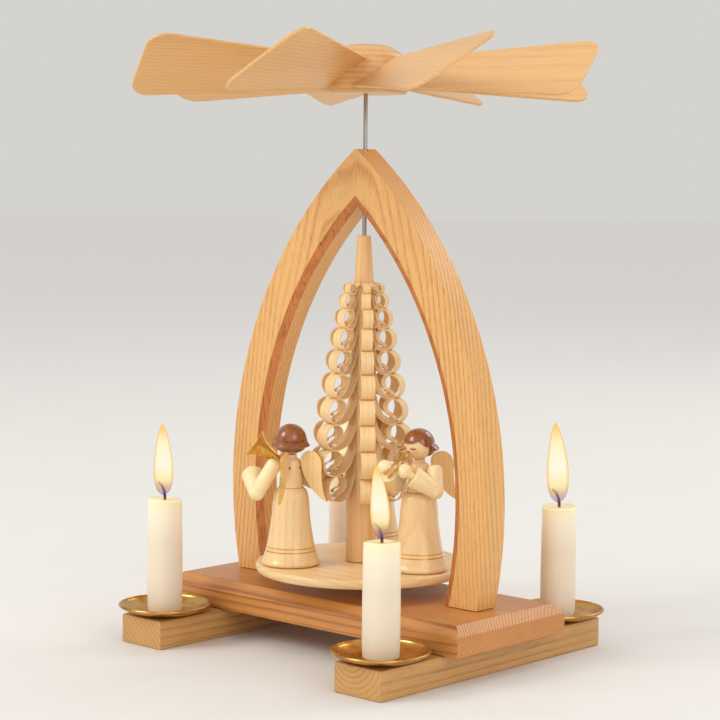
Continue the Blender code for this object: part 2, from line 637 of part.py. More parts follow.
for corner, height in CANDLE_HEIGHTS.items():
    depth_name, side_name = corner.split("_")
    x = TRAY_X if side_name == "right" else -TRAY_X
    y = TRAY_Y if depth_name == "back" else -TRAY_Y
    lift = empty("candle_axis_" + corner, (x, y, 0.0))
    tray = turned("drip_tray_" + corner, tray_profile, BRASS, DISH_FACETS)
    tray.location = (x, y, 0.0)
    spike = turned("candle_spike_" + corner, spike_profile, STEEL, PIN_FACETS)
    spike.location = (x, y, 0.0)
    spike_hole = cylinder("spike_hole_" + corner, SPIKE_HOLE, SPIKE_FLOOR, CANDLE_SEAT, x, y)
    combine(bpy.data.objects["cross_bar_" + side_name], spike_hole, "DIFFERENCE")
    top = CANDLE_SEAT + height
    pool = top - CANDLE_DISH
    candle_profile = [(0.0, pool), (CANDLE_POOL_RADIUS, pool), (CANDLE_RADIUS - CANDLE_RIM, top),
                      (CANDLE_RADIUS, top - CANDLE_RIM), (CANDLE_RADIUS, CANDLE_SEAT), (SPIKE_HOLE, CANDLE_SEAT),
                      (SPIKE_HOLE, spike_high + SEAT_GAP), (0.0, spike_high + SEAT_GAP)]
    turned("candle_" + corner, candle_profile, WAX, CANDLE_FACETS, lift)
    wick_path = [(WICK_HEIGHT * out, 0.0, pool + SEAT_GAP + WICK_HEIGHT * up) for out, up in WICK_BEND]
    tube("wick_" + corner, wick_path, [WICK_RADIUS] * len(WICK_BEND), CHAR, lift)


# Angels: turned figures with glued wings, arms and instruments
def angel_body(name, stand):
    """The bell dress, waist, torso and neck, turned from one piece."""
    profile = [(0.0, TORSO_TOP + NECK_HEIGHT), (NECK_RADIUS, TORSO_TOP + NECK_HEIGHT), (NECK_RADIUS, TORSO_TOP),
               (TORSO_TOP_RADIUS, TORSO_TOP), (TORSO_RADIUS, SHOULDER_Z), (TORSO_RADIUS, DRESS_HEIGHT + SEAT_GAP),
               (WAIST_RADIUS, DRESS_HEIGHT)]
    flare = DRESS_RADIUS - WAIST_RADIUS
    for down, out in DRESS_FLARE:
        profile.append((WAIST_RADIUS + flare * out, DRESS_HEIGHT * (1.0 - down)))
    profile.append((0.0, 0.0))
    turned(name + "_body", profile, LIME_WOOD, FIGURE_FACETS, stand)


def angel_head(name, stand):
    """A ball head, with a brimmed cap of hair tipped back on it."""
    body = bmesh.new()
    bmesh.ops.create_uvsphere(body, u_segments=FIGURE_FACETS, v_segments=HEAD_RINGS, radius=HEAD_RADIUS)
    mesh = bpy.data.meshes.new(name + "_head")
    body.to_mesh(mesh)
    body.free()
    mesh.shade_smooth()
    head = place(name + "_head", mesh, LIME_WOOD, stand)
    head.location.z = HEAD_Z
    inner = HEAD_RADIUS + FIT_GAP
    outer = inner + HAIR_WALL
    brim = outer + HAIR_BRIM
    crown = [(outer * math.sin(angle), outer * math.cos(angle)) for angle in map(math.radians, (30.0, 55.0, 75.0))]
    lining = [(inner * math.sin(angle), inner * math.cos(angle)) for angle in map(math.radians, (65.0, 35.0))]
    profile = [(0.0, outer)] + crown
    profile += [(brim, -HAIR_BRIM_TOP), (brim - HAIR_WALL, -HAIR_BRIM_LOW), (inner, -HAIR_EDGE), (inner, 0.0)]
    profile += lining + [(0.0, inner)]
    hair = turned(name + "_hair", profile, HAIR, FIGURE_FACETS, stand)
    hair.location.z = HEAD_Z
    hair.rotation_euler.y = HAIR_TILT


def angel_wings(name, stand):
    """Two thin leaf-shaped wings, glued edge-on to the back."""
    top = TORSO_TOP + WING_RISES[name]
    outline = [(WING_WIDTH * out, top + WING_HEIGHT * up) for out, up in WING_SHAPE]
    root = TORSO_RADIUS + FIT_GAP
    for side, sign in (("left", 1), ("right", -1)):
        heading = sign * (math.pi - WING_SPREAD)
        wing = flat("%s_%s_wing" % (name, side), outline, WING_THICKNESS, LIME_WOOD, stand)
        wing.location = (root * math.cos(heading), root * math.sin(heading), 0.0)
        wing.rotation_euler = (math.pi / 2, 0.0, heading)


def rod(name, start, end, start_radius, end_radius):
    """A tapered round bar between two points."""
    body = bmesh.new()
    length = (end - start).length
    bmesh.ops.create_cone(body, cap_ends=True, segments=LIMB_FACETS, radius1=start_radius, radius2=end_radius,
                          depth=length)
    lie = (end - start).to_track_quat("Z", "Y").to_matrix().to_4x4()
    bmesh.ops.transform(body, verts=body.verts, matrix=Matrix.Translation((start + end) / 2) @ lie)
    mesh = bpy.data.meshes.new(name)
    body.to_mesh(mesh)
    body.free()
    return place(name, mesh, CREAM)


def ball(name, centre, radius):
    """A small ball, among the cutters."""
    body = bmesh.new()
    bmesh.ops.create_uvsphere(body, u_segments=LIMB_FACETS, v_segments=BALL_RINGS, radius=radius)
    bmesh.ops.translate(body, verts=body.verts, vec=centre)
    mesh = bpy.data.meshes.new(name)
    body.to_mesh(mesh)
    body.free()
    return hide_as_cutter(place(name, mesh, CREAM))


def angel_arm(name, stand, sign, elbow, hand, shows=HAND_SHOWS):
    """A bent sleeve with a flared cuff and a ball hand."""
    shoulder = Vector((0.0, sign * SHOULDER_Y, SHOULDER_Z))
    cuff = hand + (elbow - hand).normalized() * HAND_RADIUS * shows
    arm = rod(name, elbow, cuff, SLEEVE_RADIUS, CUFF_RADIUS)
    arm.parent = stand
    pieces = [ball(name + "_elbow", elbow, SLEEVE_RADIUS + ELBOW_BULGE), ball(name + "_hand", hand, HAND_RADIUS),
              ball(name + "_shoulder", shoulder, SLEEVE_RADIUS),
              hide_as_cutter(rod(name + "_upper", shoulder, elbow, SLEEVE_RADIUS, SLEEVE_RADIUS)),
              hide_as_cutter(rod(name + "_wrist", elbow, hand, WRIST_RADIUS, WRIST_RADIUS))]
    for piece in pieces:
        piece.parent = stand
        combine(arm, piece, "UNION")


def low_elbow(sign):
    """Where an elbow held close to the waist lies."""
    return Vector((ELBOW_FORWARD, sign * (SHOULDER_Y + ELBOW_SPREAD), DRESS_HEIGHT + ELBOW_RISE))


def flute_player(name, stand):
    """Both arms bent to the front, holding a straight pipe to the mouth."""
    along = Vector((math.cos(FLUTE_DIP), 0.0, -math.sin(FLUTE_DIP)))
    mouth = Vector((MOUTH_X + FLUTE_RADIUS + SEAT_GAP, 0.0, MOUTH_Z))
    path = [mouth + along * share * FLUTE_LENGTH for share in (0.0, 0.10, 0.88, 1.0)]
    tube(name + "_pipe", path, [FLUTE_LIP_RADIUS, FLUTE_RADIUS, FLUTE_RADIUS, FLUTE_END_RADIUS], GOLD, stand)
    reach = FLUTE_RADIUS + HAND_RADIUS + SEAT_GAP
    for side, sign in (("left", 1), ("right", -1)):
        hand = mouth + along * FLUTE_GRIPS[side] * FLUTE_LENGTH + FLUTE_HOLDS[side].normalized() * reach
        angel_arm("%s_%s_arm" % (name, side), stand, sign, low_elbow(sign), hand)


def horn_player(name, stand):
    """A curved horn, its bell held up and out to the left."""
    inside = [(HORN_BELL_RADIUS * out - HORN_WALL, HORN_BELL_LENGTH * along) for along, out in HORN_FLARE]
    outside = [(HORN_BELL_RADIUS * out, HORN_BELL_LENGTH * along) for along, out in HORN_NECK + HORN_FLARE]
    bell_profile = [(0.0, HORN_BELL_LENGTH * HORN_CAVITY)] + inside + outside[::-1] + [(0.0, 0.0)]
    throat = Vector((HEAD_RADIUS + HORN_FORWARD, HORN_SIDE, SHOULDER_Z + HORN_RAISE))
    horn = turned(name + "_horn", bell_profile, GOLD, FIGURE_FACETS, stand)
    horn.location = throat
    horn.rotation_euler = HORN_AIM.to_track_quat("Z", "Y").to_euler()
    lips = Vector((MOUTH_X + HORN_TUBE_RADIUS + SEAT_GAP, 0.0, MOUTH_Z))
    bow = Vector((lips.x + HORN_BOW_FORWARD, -HORN_BOW_SIDE, (lips.z + throat.z) / 2))
    path = []
    for step in range(HORN_TUBE_STEPS + 1):
        share = step / HORN_TUBE_STEPS
        path.append(lips * (1 - share) ** 2 + bow * 2 * share * (1 - share) + throat * share ** 2)
    path.append(throat + HORN_AIM * HORN_TUBE_RADIUS)
    pipe = hide_as_cutter(tube(name + "_horn_pipe", path, [HORN_TUBE_RADIUS] * len(path), GOLD, stand))
    combine(horn, pipe, "UNION")
    left_elbow = Vector((RAISED_ELBOW_FORWARD, SHOULDER_Y + RAISED_ELBOW_SPREAD, DRESS_HEIGHT - RAISED_ELBOW_DROP))
    angel_arm(name + "_left_arm", stand, 1, left_elbow, left_elbow + RAISED_HAND, RAISED_HAND_SHOWS)
    right_hand = throat + HORN_RIGHT_HAND * (HORN_TUBE_RADIUS + HAND_RADIUS + SEAT_GAP)
    angel_arm(name + "_right_arm", stand, -1, low_elbow(-1), right_hand)


for index, name in enumerate(ANGEL_NAMES):
    azimuth = ANGEL_START + index * 2 * math.pi / len(ANGEL_NAMES)
    spot = (ANGEL_CIRCLE * math.cos(azimuth), ANGEL_CIRCLE * math.sin(azimuth), ANGEL_BOTTOM)
    stand = empty(name + "_stand", spot, azimuth - math.pi / 2 + ANGEL_TURNS[name])
    stand.parent = spindle
    angel_body(name, stand)
    angel_head(name, stand)
    angel_wings(name, stand)
    if name == "horn_angel":
        horn_player(name, stand)
    else:
        flute_player(name, stand)
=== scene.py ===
import random
from math import acos, asin, atan2, cos, degrees, exp, hypot, pi, radians, sin, sqrt

import bmesh
import bpy
from mathutils import Euler, Matrix, Vector
from numpy import interp


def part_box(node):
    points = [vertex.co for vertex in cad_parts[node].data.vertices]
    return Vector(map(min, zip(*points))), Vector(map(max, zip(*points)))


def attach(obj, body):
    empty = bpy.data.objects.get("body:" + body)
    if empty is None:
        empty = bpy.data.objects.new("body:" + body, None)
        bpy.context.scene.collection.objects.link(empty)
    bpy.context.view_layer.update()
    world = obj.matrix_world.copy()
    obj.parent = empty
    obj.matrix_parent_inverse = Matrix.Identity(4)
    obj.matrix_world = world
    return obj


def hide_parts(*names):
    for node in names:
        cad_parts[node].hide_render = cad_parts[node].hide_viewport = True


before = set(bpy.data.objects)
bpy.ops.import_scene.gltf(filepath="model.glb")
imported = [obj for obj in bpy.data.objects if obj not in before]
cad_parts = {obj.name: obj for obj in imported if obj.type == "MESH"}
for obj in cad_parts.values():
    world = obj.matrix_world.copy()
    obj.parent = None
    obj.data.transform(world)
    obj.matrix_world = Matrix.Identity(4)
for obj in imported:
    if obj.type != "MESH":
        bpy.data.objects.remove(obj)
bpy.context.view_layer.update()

# Base board: a planed plank of warm brown softwood, its grain along the length.
# The four top edges are chamfered on the saw and the whole is rubbed down and clear lacquered.
# It lies across two cross bars and carries the arch and the spindle's bearing.
BOARD_CHAMFER = 0.0040
BOARD_EASE = 0.0004
NEAR = 0.0001
RINGS_PER_LENGTH = 0.314


def start_fresh(piece=None):
    """Object mode with nothing selected, or with one piece selected and active."""
    if bpy.context.mode != "OBJECT":
        bpy.ops.object.mode_set(mode="OBJECT")
    bpy.ops.object.select_all(action="DESELECT")
    if piece:
        piece.select_set(True)
        bpy.context.view_layer.objects.active = piece


def named(name, piece=None):
    """Name a piece, or else the object just made, and its mesh."""
    piece = piece or bpy.context.object
    piece.name = name
    piece.data.name = name
    return piece


def pick(piece, kind, test):
    """In edit mode, select only the verts, edges or faces that pass a test."""
    bpy.ops.object.mode_set(mode="EDIT")
    bpy.ops.mesh.select_mode(type={"verts": "VERT", "edges": "EDGE", "faces": "FACE"}[kind])
    bpy.ops.mesh.select_all(action="DESELECT")
    mesh = bmesh.from_edit_mesh(piece.data)
    for part in getattr(mesh, kind):
        if test(part):
            part.select_set(True)
    mesh.select_flush_mode()
    bmesh.update_edit_mesh(piece.data)


def apply_modifier(piece, kind, **settings):
    """Add a modifier, set it and apply it."""
    start_fresh(piece)
    modifier = piece.modifiers.new(kind.lower(), kind)
    for key, value in settings.items():
        setattr(modifier, key, value)
    bpy.ops.object.modifier_apply(modifier=modifier.name)


def smooth(piece, angle):
    """Shade a piece smooth, except at edges sharper than an angle."""
    start_fresh(piece)
    bpy.ops.object.shade_smooth_by_angle(angle=radians(angle))


def ease_edges(piece, width, angle=25.0, segments=2):
    """Round sharp edges a little, as sanding does."""
    apply_modifier(piece, "BEVEL", width=width, segments=segments, limit_method="ANGLE",
                   angle_limit=radians(angle))
    smooth(piece, 40.0)
    apply_modifier(piece, "WEIGHTED_NORMAL", keep_sharp=True)


def plank(name, low, high):
    """A plank that fills a box, still with sharp edges."""
    start_fresh()
    bpy.ops.mesh.primitive_cube_add(size=1.0, location=(low + high) / 2, scale=high - low)
    bpy.ops.object.transform_apply()
    return named(name)


def fit(piece, material, body, slot, *nodes):
    """Give a piece its material and the body it moves with, and hide the solids it stands for; the slot is not
    used.
    """
    piece.data.materials.append(material)
    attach(piece, body)
    if nodes:
        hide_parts(*nodes)


def feed(made, inputs):
    """Set a node's inputs to values, or join them to other nodes' outputs."""
    for key, value in inputs.items():
        if isinstance(value, bpy.types.NodeSocket):
            made.id_data.links.new(value, made.inputs[key])
        else:
            made.inputs[key].default_value = value


def node(beside, kind, inputs, **settings):
    """The outputs of a new shader node in the tree of another node or socket."""
    made = beside.id_data.nodes.new("ShaderNode" + kind)
    for key, value in settings.items():
        setattr(made, key, value)
    feed(made, inputs)
    return made.outputs


def number(operation, *values, clamp=False):
    """One step of arithmetic on numbers."""
    settings = {"operation": operation, "use_clamp": clamp}
    return node(values[0], "Math", dict(enumerate(values)), **settings)[0]


def vector(operation, *values):
    """One step of arithmetic on places."""
    return node(values[0], "VectorMath", dict(enumerate(values)), operation=operation)[0]


def noise(place, scale, detail, roughness=0.5):
    """A cloudy pattern between 0 and 1."""
    inputs = {"Vector": place, "Scale": scale, "Detail": detail, "Roughness": roughness}
    return node(place, "TexNoise", inputs)[0]


def spread(value, low, high, start=0.0, end=1.0):
    """A value between start and end, taken to a value between low and high."""
    return node(value, "MapRange", {0: value, 1: start, 2: end, 3: low, 4: high})[0]


def shade(red, green, blue):
    """A colour as it looks on screen, 0 to 255, made linear."""
    levels = [value / 255 for value in (red, green, blue)]
    return tuple([((level + 0.055) / 1.055) ** 2.4 for level in levels] + [1.0])


def ramp(source, stops):
    """A colour ramp; a tone is a grey level, a colour on screen or a linear colour with alpha."""
    made = node(source, "ValToRGB", {0: source})[0]
    elements = made.node.color_ramp.elements
    while len(elements) < len(stops):
        elements.new(1.0)
    for element, (position, tone) in zip(elements, stops):
        element.position = position
        if isinstance(tone, float):
            element.color = (tone, tone, tone, 1.0)
        else:
            element.color = tone if len(tone) == 4 else shade(*tone)
    return made


def paint_over(under, mask, colour, blend="MIX"):
    """Paint a colour over another where the mask is white."""
    settings = {"data_type": "RGBA", "blend_type": blend}
    return node(under, "Mix", {0: mask, 6: under, 7: colour}, **settings)[2]


def place_of(shader, as_made=False):
    """Where a point lies on the finished piece, or where it lay as the piece was made."""
    if as_made:
        return node(shader, "Attribute", {}, attribute_name="making_place")["Vector"]
    return node(shader, "TexCoord", {})["Object"]


def finish(name, values):
    """A material with some of its values set, and its shader."""
    material = bpy.data.materials.new(name)
    material.use_nodes = True
    shader = material.node_tree.nodes["Principled BSDF"]
    feed(shader, values)
    return material, shader


# Solid wood: growth rings round the Z axis, fibres and pores along it
grain = bpy.data.node_groups.new("wood_grain", "ShaderNodeTree")
for way, kind, sockets in (
        ("INPUT", "Vector", ["Place"]), ("INPUT", "Color", ["Early Wood", "Late Wood"]),
        ("INPUT", "Float", ["Ring Scale", "Wander", "Fibre Scale", "Rings", "Fibres", "Pores"]),
        ("OUTPUT", "Color", ["Color"]), ("OUTPUT", "Float", ["Roughness", "Height"])):
    for socket in sockets:
        grain.interface.new_socket(socket, in_out=way, socket_type="NodeSocket" + kind)
asked = grain.nodes.new("NodeGroupInput").outputs
place = asked["Place"]
slow = vector("MULTIPLY", place, (1.0, 1.0, 0.16))
cloud = node(place, "TexNoise", {"Vector": slow, "Scale": 26.0, "Detail": 2.0})
drift = vector("SUBTRACT", cloud[1], (0.5, 0.5, 0.5))
push = node(place, "VectorMath", {0: drift, "Scale": asked["Wander"]}, operation="SCALE")[0]
wave = node(place, "TexWave", {"Vector": vector("ADD", place, push), "Scale": asked["Ring Scale"]},
            wave_type="RINGS", rings_direction="Z", wave_profile="SAW")
late = ramp(wave[1], [(0.0, 0.25), (0.10, 0.05), (0.55, 0.14), (0.88, 1.0), (1.0, 0.55)])
patch = spread(noise(slow, 60.0, 3.0), 0.45, 1.0, 0.30, 0.70)
ringed = number("MULTIPLY", number("MULTIPLY", late, patch), asked["Rings"])
fibre = noise(vector("MULTIPLY", place, (1.0, 1.0, 0.03)), asked["Fibre Scale"], 3.0, 0.65)
fibred = number("MULTIPLY_ADD", number("SUBTRACT", fibre, 0.48), asked["Fibres"], ringed)
dash = noise(vector("MULTIPLY", place, (1.7, 1.7, 0.10)), asked["Fibre Scale"], 1.0)
pore = ramp(dash, [(0.0, 0.0), (0.60, 0.0), (0.72, 1.0), (1.0, 1.0)])
total = number("MULTIPLY_ADD", pore, asked["Pores"], fibred, clamp=True)
mixed = paint_over(asked["Early Wood"], total, asked["Late Wood"])
toned = paint_over(mixed, 1.0, ramp(cloud[0], [(0.30, 0.90), (0.50, 1.0), (0.70, 0.94)]), "MULTIPLY")
answers = {"Color": toned, "Roughness": spread(total, 0.40, 0.56), "Height": total}
feed(grain.nodes.new("NodeGroupOutput"), answers)


def wood(name, early, late, spacing, turn=(0.0, 0.0, 0.0), pith=(0.0, 0.0), wander=0.003, fibre=1500.0, rings=0.8,
         fibres=0.7, pores=0.3, coat=0.15, as_made=False):
    """A lacquered wood; turn lays its grain along Z and pith shifts the rings' middle onto the Z axis."""
    material, shader = finish(name, {"Coat Weight": coat, "Coat Roughness": 0.28})
    place = place_of(shader, as_made)
    laid = node(shader, "Mapping", {"Vector": place, "Rotation": turn, "Location": (*pith, 0.0)})
    grown = node(shader, "Group", {
        "Place": laid[0], "Early Wood": shade(*early), "Late Wood": shade(*late),
        "Ring Scale": RINGS_PER_LENGTH / spacing, "Wander": wander, "Fibre Scale": fibre, "Rings": rings,
        "Fibres": fibres, "Pores": pores}, node_tree=grain)
    relief = {"Height": grown["Height"], "Strength": 0.25, "Distance": 0.00012}
    feed(shader, {"Base Color": grown["Color"], "Roughness": grown["Roughness"],
                  "Normal": node(shader, "Bump", relief, invert=True)[0]})
    return material


along_x = (0.0, radians(-90.0), 0.0)
along_y = (radians(90.0), 0.0, 0.0)
board_low, board_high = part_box("base_board")
board = plank("base_board_plank", board_low, board_high)
pick(board, "edges", lambda edge: all(vert.co.z > board_high.z - NEAR for vert in edge.verts))
bpy.ops.mesh.bevel(offset=BOARD_CHAMFER, segments=1, affect="EDGES")
ease_edges(board, BOARD_EASE)
board_wood = wood("brown_board", (212, 144, 74), (146, 84, 34), 0.0014, turn=along_x, pith=(-0.030, -0.062),
                  wander=0.004, rings=0.85, fibres=0.8, coat=0.2)
fit(board, board_wood, "stand", "board_wood", "base_board")

# Cross bars: two square-sawn battens of paler softwood under the board's ends, their grain along the depth.
# They are the pyramid's feet, and each end carries a candle on its tray.
BAR_EASE = 0.0007
for side, pith in (("left", (0.105, -0.045)), ("right", (-0.0575, 0.0150))):
    bar_low, bar_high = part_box("cross_bar_" + side)
    bar = plank("cross_bar_%s_batten" % side, bar_low, bar_high)
    ease_edges(bar, BAR_EASE)
    bar_wood = wood("pale_bar_" + side, (210, 160, 96), (150, 98, 46), 0.0021, turn=along_y, pith=pith,
                    rings=0.55, fibres=0.9, coat=0.1)
    fit(bar, bar_wood, "stand", "bar_wood", "cross_bar_" + side)

# Pointed arch: fretted from one plank of softwood that stands on end, so its grain runs upwards.
# The inner edges are chamfered with a cutter, which leaves them darker, and the outside is only sanded.
# Hidden dowels hold both feet on the board, and the shaft runs through a hole in the crown.
ARCH_RADIUS = 0.1768
ARCH_CENTRE = -0.1063
ARCH_INNER_RADIUS = 0.15624
ARCH_INNER_CENTRE = -0.10284
ARCH_SPRING = 0.0625
ARCH_FLAT = 0.0004
ARCH_CHAMFER = (0.0035, 0.0019)
ARCH_STEPS = 72
ARCH_EASE = 0.0004
ARCH_BORE = (0.00115, 0.08)
ARCH_OVERRUN = 0.004
ARCH_STEP_LIMIT = 0.006
CHAMFER_SLANT = (0.40, 0.95)
CHAMFER_AREA = 0.0000008
ARCH_GRAIN = {"spacing": 0.0017, "turn": (radians(-6.0), 0.0, 0.0), "pith": (0.004, 0.052), "wander": 0.007}
TOUCHING = 0.00001
COINCIDING = 0.000004
arch_low, arch_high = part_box("pointed_arch")
arch_front = arch_low.y
foot_drop = ARCH_SPRING - arch_low.z


def foot_x(centre, radius):
    """Where an arc of the arch meets the foot's level."""
    return centre + sqrt(radius ** 2 - foot_drop ** 2)


def pick_all():
    """In edit mode, select the whole mesh."""
    bpy.ops.object.mode_set(mode="EDIT")
    bpy.ops.mesh.select_all(action="SELECT")


def mend(merge=False):
    """Turn the new mesh's faces outwards, and merge points that coincide if asked."""
    pick_all()
    if merge:
        bpy.ops.mesh.remove_doubles(threshold=COINCIDING)
    bpy.ops.mesh.normals_make_consistent(inside=False)
    bpy.ops.object.mode_set(mode="OBJECT")


def cut_away(piece, tool):
    """Cut a tool's shape out of a piece and put the tool away."""
    apply_modifier(piece, "BOOLEAN", operation="DIFFERENCE", solver="EXACT", object=tool)
    bpy.data.objects.remove(tool, do_unlink=True)


start_fresh()
bpy.ops.mesh.primitive_circle_add(vertices=6, radius=0.01)
arch = named("pointed_arch_plank")
outer_foot = foot_x(ARCH_CENTRE, ARCH_RADIUS)
face_foot = foot_x(ARCH_INNER_CENTRE, ARCH_INNER_RADIUS + ARCH_CHAMFER[0])
soffit_foot = foot_x(ARCH_INNER_CENTRE, ARCH_INNER_RADIUS)
shoulder = arch_front + ARCH_CHAMFER[1]
section = [(outer_foot, arch_front), (face_foot, arch_front), (soffit_foot, shoulder),
           (soffit_foot, -shoulder), (face_foot, -arch_front), (outer_foot, -arch_front)]
for vert, (x, y) in zip(arch.data.vertices, section):
    vert.co = (x, y, arch_low.z)
outer_sweep = acos((ARCH_FLAT - ARCH_CENTRE) / ARCH_RADIUS) + asin(foot_drop / ARCH_RADIUS)
inner_sweep = acos(-ARCH_INNER_CENTRE / (ARCH_INNER_RADIUS + ARCH_CHAMFER[0])) + radians(1.0)
inner_sweep += asin(foot_drop / ARCH_INNER_RADIUS)
pick(arch, "edges", lambda edge: all(vert.co.x > face_foot + NEAR for vert in edge.verts))
across = (0.0, 1.0, 0.0)
spin_centre = (ARCH_CENTRE, 0.0, ARCH_SPRING)
bpy.ops.mesh.spin(steps=ARCH_STEPS, angle=outer_sweep, center=spin_centre, axis=across)
bpy.ops.mesh.extrude_edges_move(TRANSFORM_OT_translate={"value": (-ARCH_OVERRUN, 0.0, 0.0)})
pick(arch, "edges", lambda edge: all(vert.co.x < face_foot + NEAR and vert.co.z < arch_low.z + NEAR
                                     for vert in edge.verts))
spin_centre = (ARCH_INNER_CENTRE, 0.0, ARCH_SPRING)
bpy.ops.mesh.spin(steps=ARCH_STEPS + 1, angle=inner_sweep, center=spin_centre, axis=across)
for face_y in (arch_front, -arch_front):
    pick(arch, "edges", lambda edge: edge.is_boundary and edge.calc_length() < ARCH_STEP_LIMIT
         and all(abs(vert.co.y - face_y) < TOUCHING for vert in edge.verts))
    bpy.ops.mesh.bridge_edge_loops()
for cut_at, cut_facing in (((0.0, 0.0, arch_low.z), (0.0, 0.0, 1.0)), ((0.0, 0.0, 0.0), (1.0, 0.0, 0.0))):
    pick_all()
    bpy.ops.mesh.bisect(plane_co=cut_at, plane_no=cut_facing, clear_inner=True)
pick_all()
bpy.ops.mesh.remove_doubles(threshold=TOUCHING)
pick(arch, "edges",
     lambda edge: edge.is_boundary and all(vert.co.z < arch_low.z + TOUCHING for vert in edge.verts))
bpy.ops.mesh.edge_face_add()
apply_modifier(arch, "MIRROR", use_clip=True, merge_threshold=2 * TOUCHING)
mend()
start_fresh()
crown = (0.0, 0.0, arch_high.z)
bpy.ops.mesh.primitive_cylinder_add(vertices=40, radius=ARCH_BORE[0], depth=ARCH_BORE[1], location=crown)
cut_away(arch, bpy.context.object)
ease_edges(arch, ARCH_EASE, angle=20.0)
arch_wood = wood("golden_arch", (232, 180, 110), (188, 118, 52), rings=0.72, fibres=1.0, pores=0.35, coat=0.12,
                 **ARCH_GRAIN)
cut_wood = wood("cut_chamfer", (200, 122, 56), (138, 70, 26), fibre=1100.0, rings=0.5, fibres=1.2, pores=0.9,
                coat=0.05, **ARCH_GRAIN)
fit(arch, arch_wood, "stand", "arch_wood", "pointed_arch")
arch.data.materials.append(cut_wood)
# Only the chamfers' faces lie aslant, and the eased edges beside them are far smaller
for face in arch.data.polygons:
    if CHAMFER_SLANT[0] < abs(face.normal.y) < CHAMFER_SLANT[1] and face.area > CHAMFER_AREA:
        face.material_index = 1
for side in ("left", "right"):
    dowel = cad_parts["arch_dowel_" + side].data
    dowel.materials.clear()
    dowel.materials.append(bpy.data.materials["pale_bar_" + side])

# Bearing cup: a thick glass button with a ground dimple, let into the board under the spindle.
# The shaft's point turns in the dimple, and only the cup's rim stands above the board.
CUP_DIMPLE = (0.0018, 0.0015)
CUP_LIP = (0.0003, 0.0001)
CUP_EASE = 0.0004


def smooth_line(points, smoothness, closed=False):
    """A smooth line through (place, sharp) points, with a corner at each sharp one."""
    start_fresh()
    bpy.ops.curve.primitive_bezier_curve_add()
    line = bpy.context.object.data
    spline = line.splines[0]
    spline.bezier_points.add(len(points) - 2)
    spline.resolution_u = smoothness
    for point, (place, sharp) in zip(spline.bezier_points, points):
        point.co = place
        point.handle_left_type = "VECTOR" if sharp else "AUTO"
        point.handle_right_type = "VECTOR" if sharp else "AUTO"
    spline.use_cyclic_u = closed
    return line


def turned(name, profile, steps=64, smoothness=6):
    """A turned piece from (radius, height) points; a third value marks a sharp corner."""
    line = smooth_line([((spot[0], 0.0, spot[1]), len(spot) > 2) for spot in profile], smoothness,
                       closed=profile[0][0] > 0.0)
    for end, beside in ((0, 1), (-1, -2)):
        if len(profile[end]) == 2 and profile[end][0] == 0.0:
            point = line.splines[0].bezier_points[end]
            point.handle_left_type = "FREE"
            point.handle_right_type = "FREE"
            point.handle_left = (profile[beside][0] * 0.5, 0.0, profile[end][1])
            point.handle_right = point.handle_left
    bpy.ops.object.convert(target="MESH")
    piece = named(name)
    pick_all()
    bpy.ops.mesh.spin(steps=steps, angle=2 * pi, center=(0.0, 0.0, 0.0), axis=(0.0, 0.0, 1.0))
    mend(merge=True)
    smooth(piece, 35.0)
    return piece


def vary(shader, pattern, tones=None, rough=None, relief=None):
    """Let a pattern vary tones, roughness (low, high) and relief (strength, depth)."""
    inputs = {}
    if tones:
        inputs["Base Color"] = ramp(pattern, tones)
    if rough:
        inputs["Roughness"] = spread(pattern, *rough)
    if relief:
        bump = {"Height": pattern, "Strength": relief[0], "Distance": relief[1]}
        inputs["Normal"] = node(shader, "Bump", bump)[0]
    feed(shader, inputs)


def round_box(solid):
    """A round solid's lower and upper level and its radius."""
    low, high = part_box(solid)
    return low.z, high.z, (high.y - low.y) / 2


low, high, radius = round_box("bearing_cup")
cup = turned("bearing_cup_button", [
    (0.0, high - CUP_DIMPLE[1]), (CUP_DIMPLE[0] * 0.6, high - CUP_DIMPLE[1] * 0.62),
    (CUP_DIMPLE[0], high - CUP_LIP[1]), (CUP_DIMPLE[0] + CUP_LIP[0], high), (radius - CUP_EASE, high, True),
    (radius, high - CUP_EASE, True), (radius, low, True), (0.0, low, True)], steps=48)
glass, shader = finish("ground_glass", {"Base Color": shade(214, 226, 220), "Transmission Weight": 0.6})
vary(shader, noise(place_of(shader), 900.0, 3.0), rough=(0.06, 0.30))
fit(cup, glass, "stand", "bearing_glass", "bearing_cup")

# Shaft: a bright drawn steel rod, ground to a point that turns in the glass cup.
# It runs up through plate, tree and arch, and the wheel's hub is pressed on its top end.
SHAFT_POINT = (0.0040, 0.0018)
SHAFT_EASE = 0.0004
low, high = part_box("shaft")
shaft_radius = (high.x - low.x) / 2
shaft = turned("shaft_rod", [
    (0.0, high.z, True), (shaft_radius * 0.7, high.z, True), (shaft_radius, high.z - SHAFT_EASE, True),
    (shaft_radius, low.z + SHAFT_POINT[0]), (shaft_radius * 0.55, low.z + SHAFT_POINT[1]),
    (0.0, low.z, True)], steps=32)
steel, shader = finish("drawn_steel", {"Metallic": 1.0})
drawn = noise(vector("MULTIPLY", place_of(shader), (1.0, 1.0, 0.02)), 9000.0, 2.0)
vary(shader, drawn, [(0.3, (196, 194, 188)), (0.7, (150, 147, 142))], rough=(0.16, 0.40))
fit(shaft, steel, "spindle", "shaft_steel", "shaft")

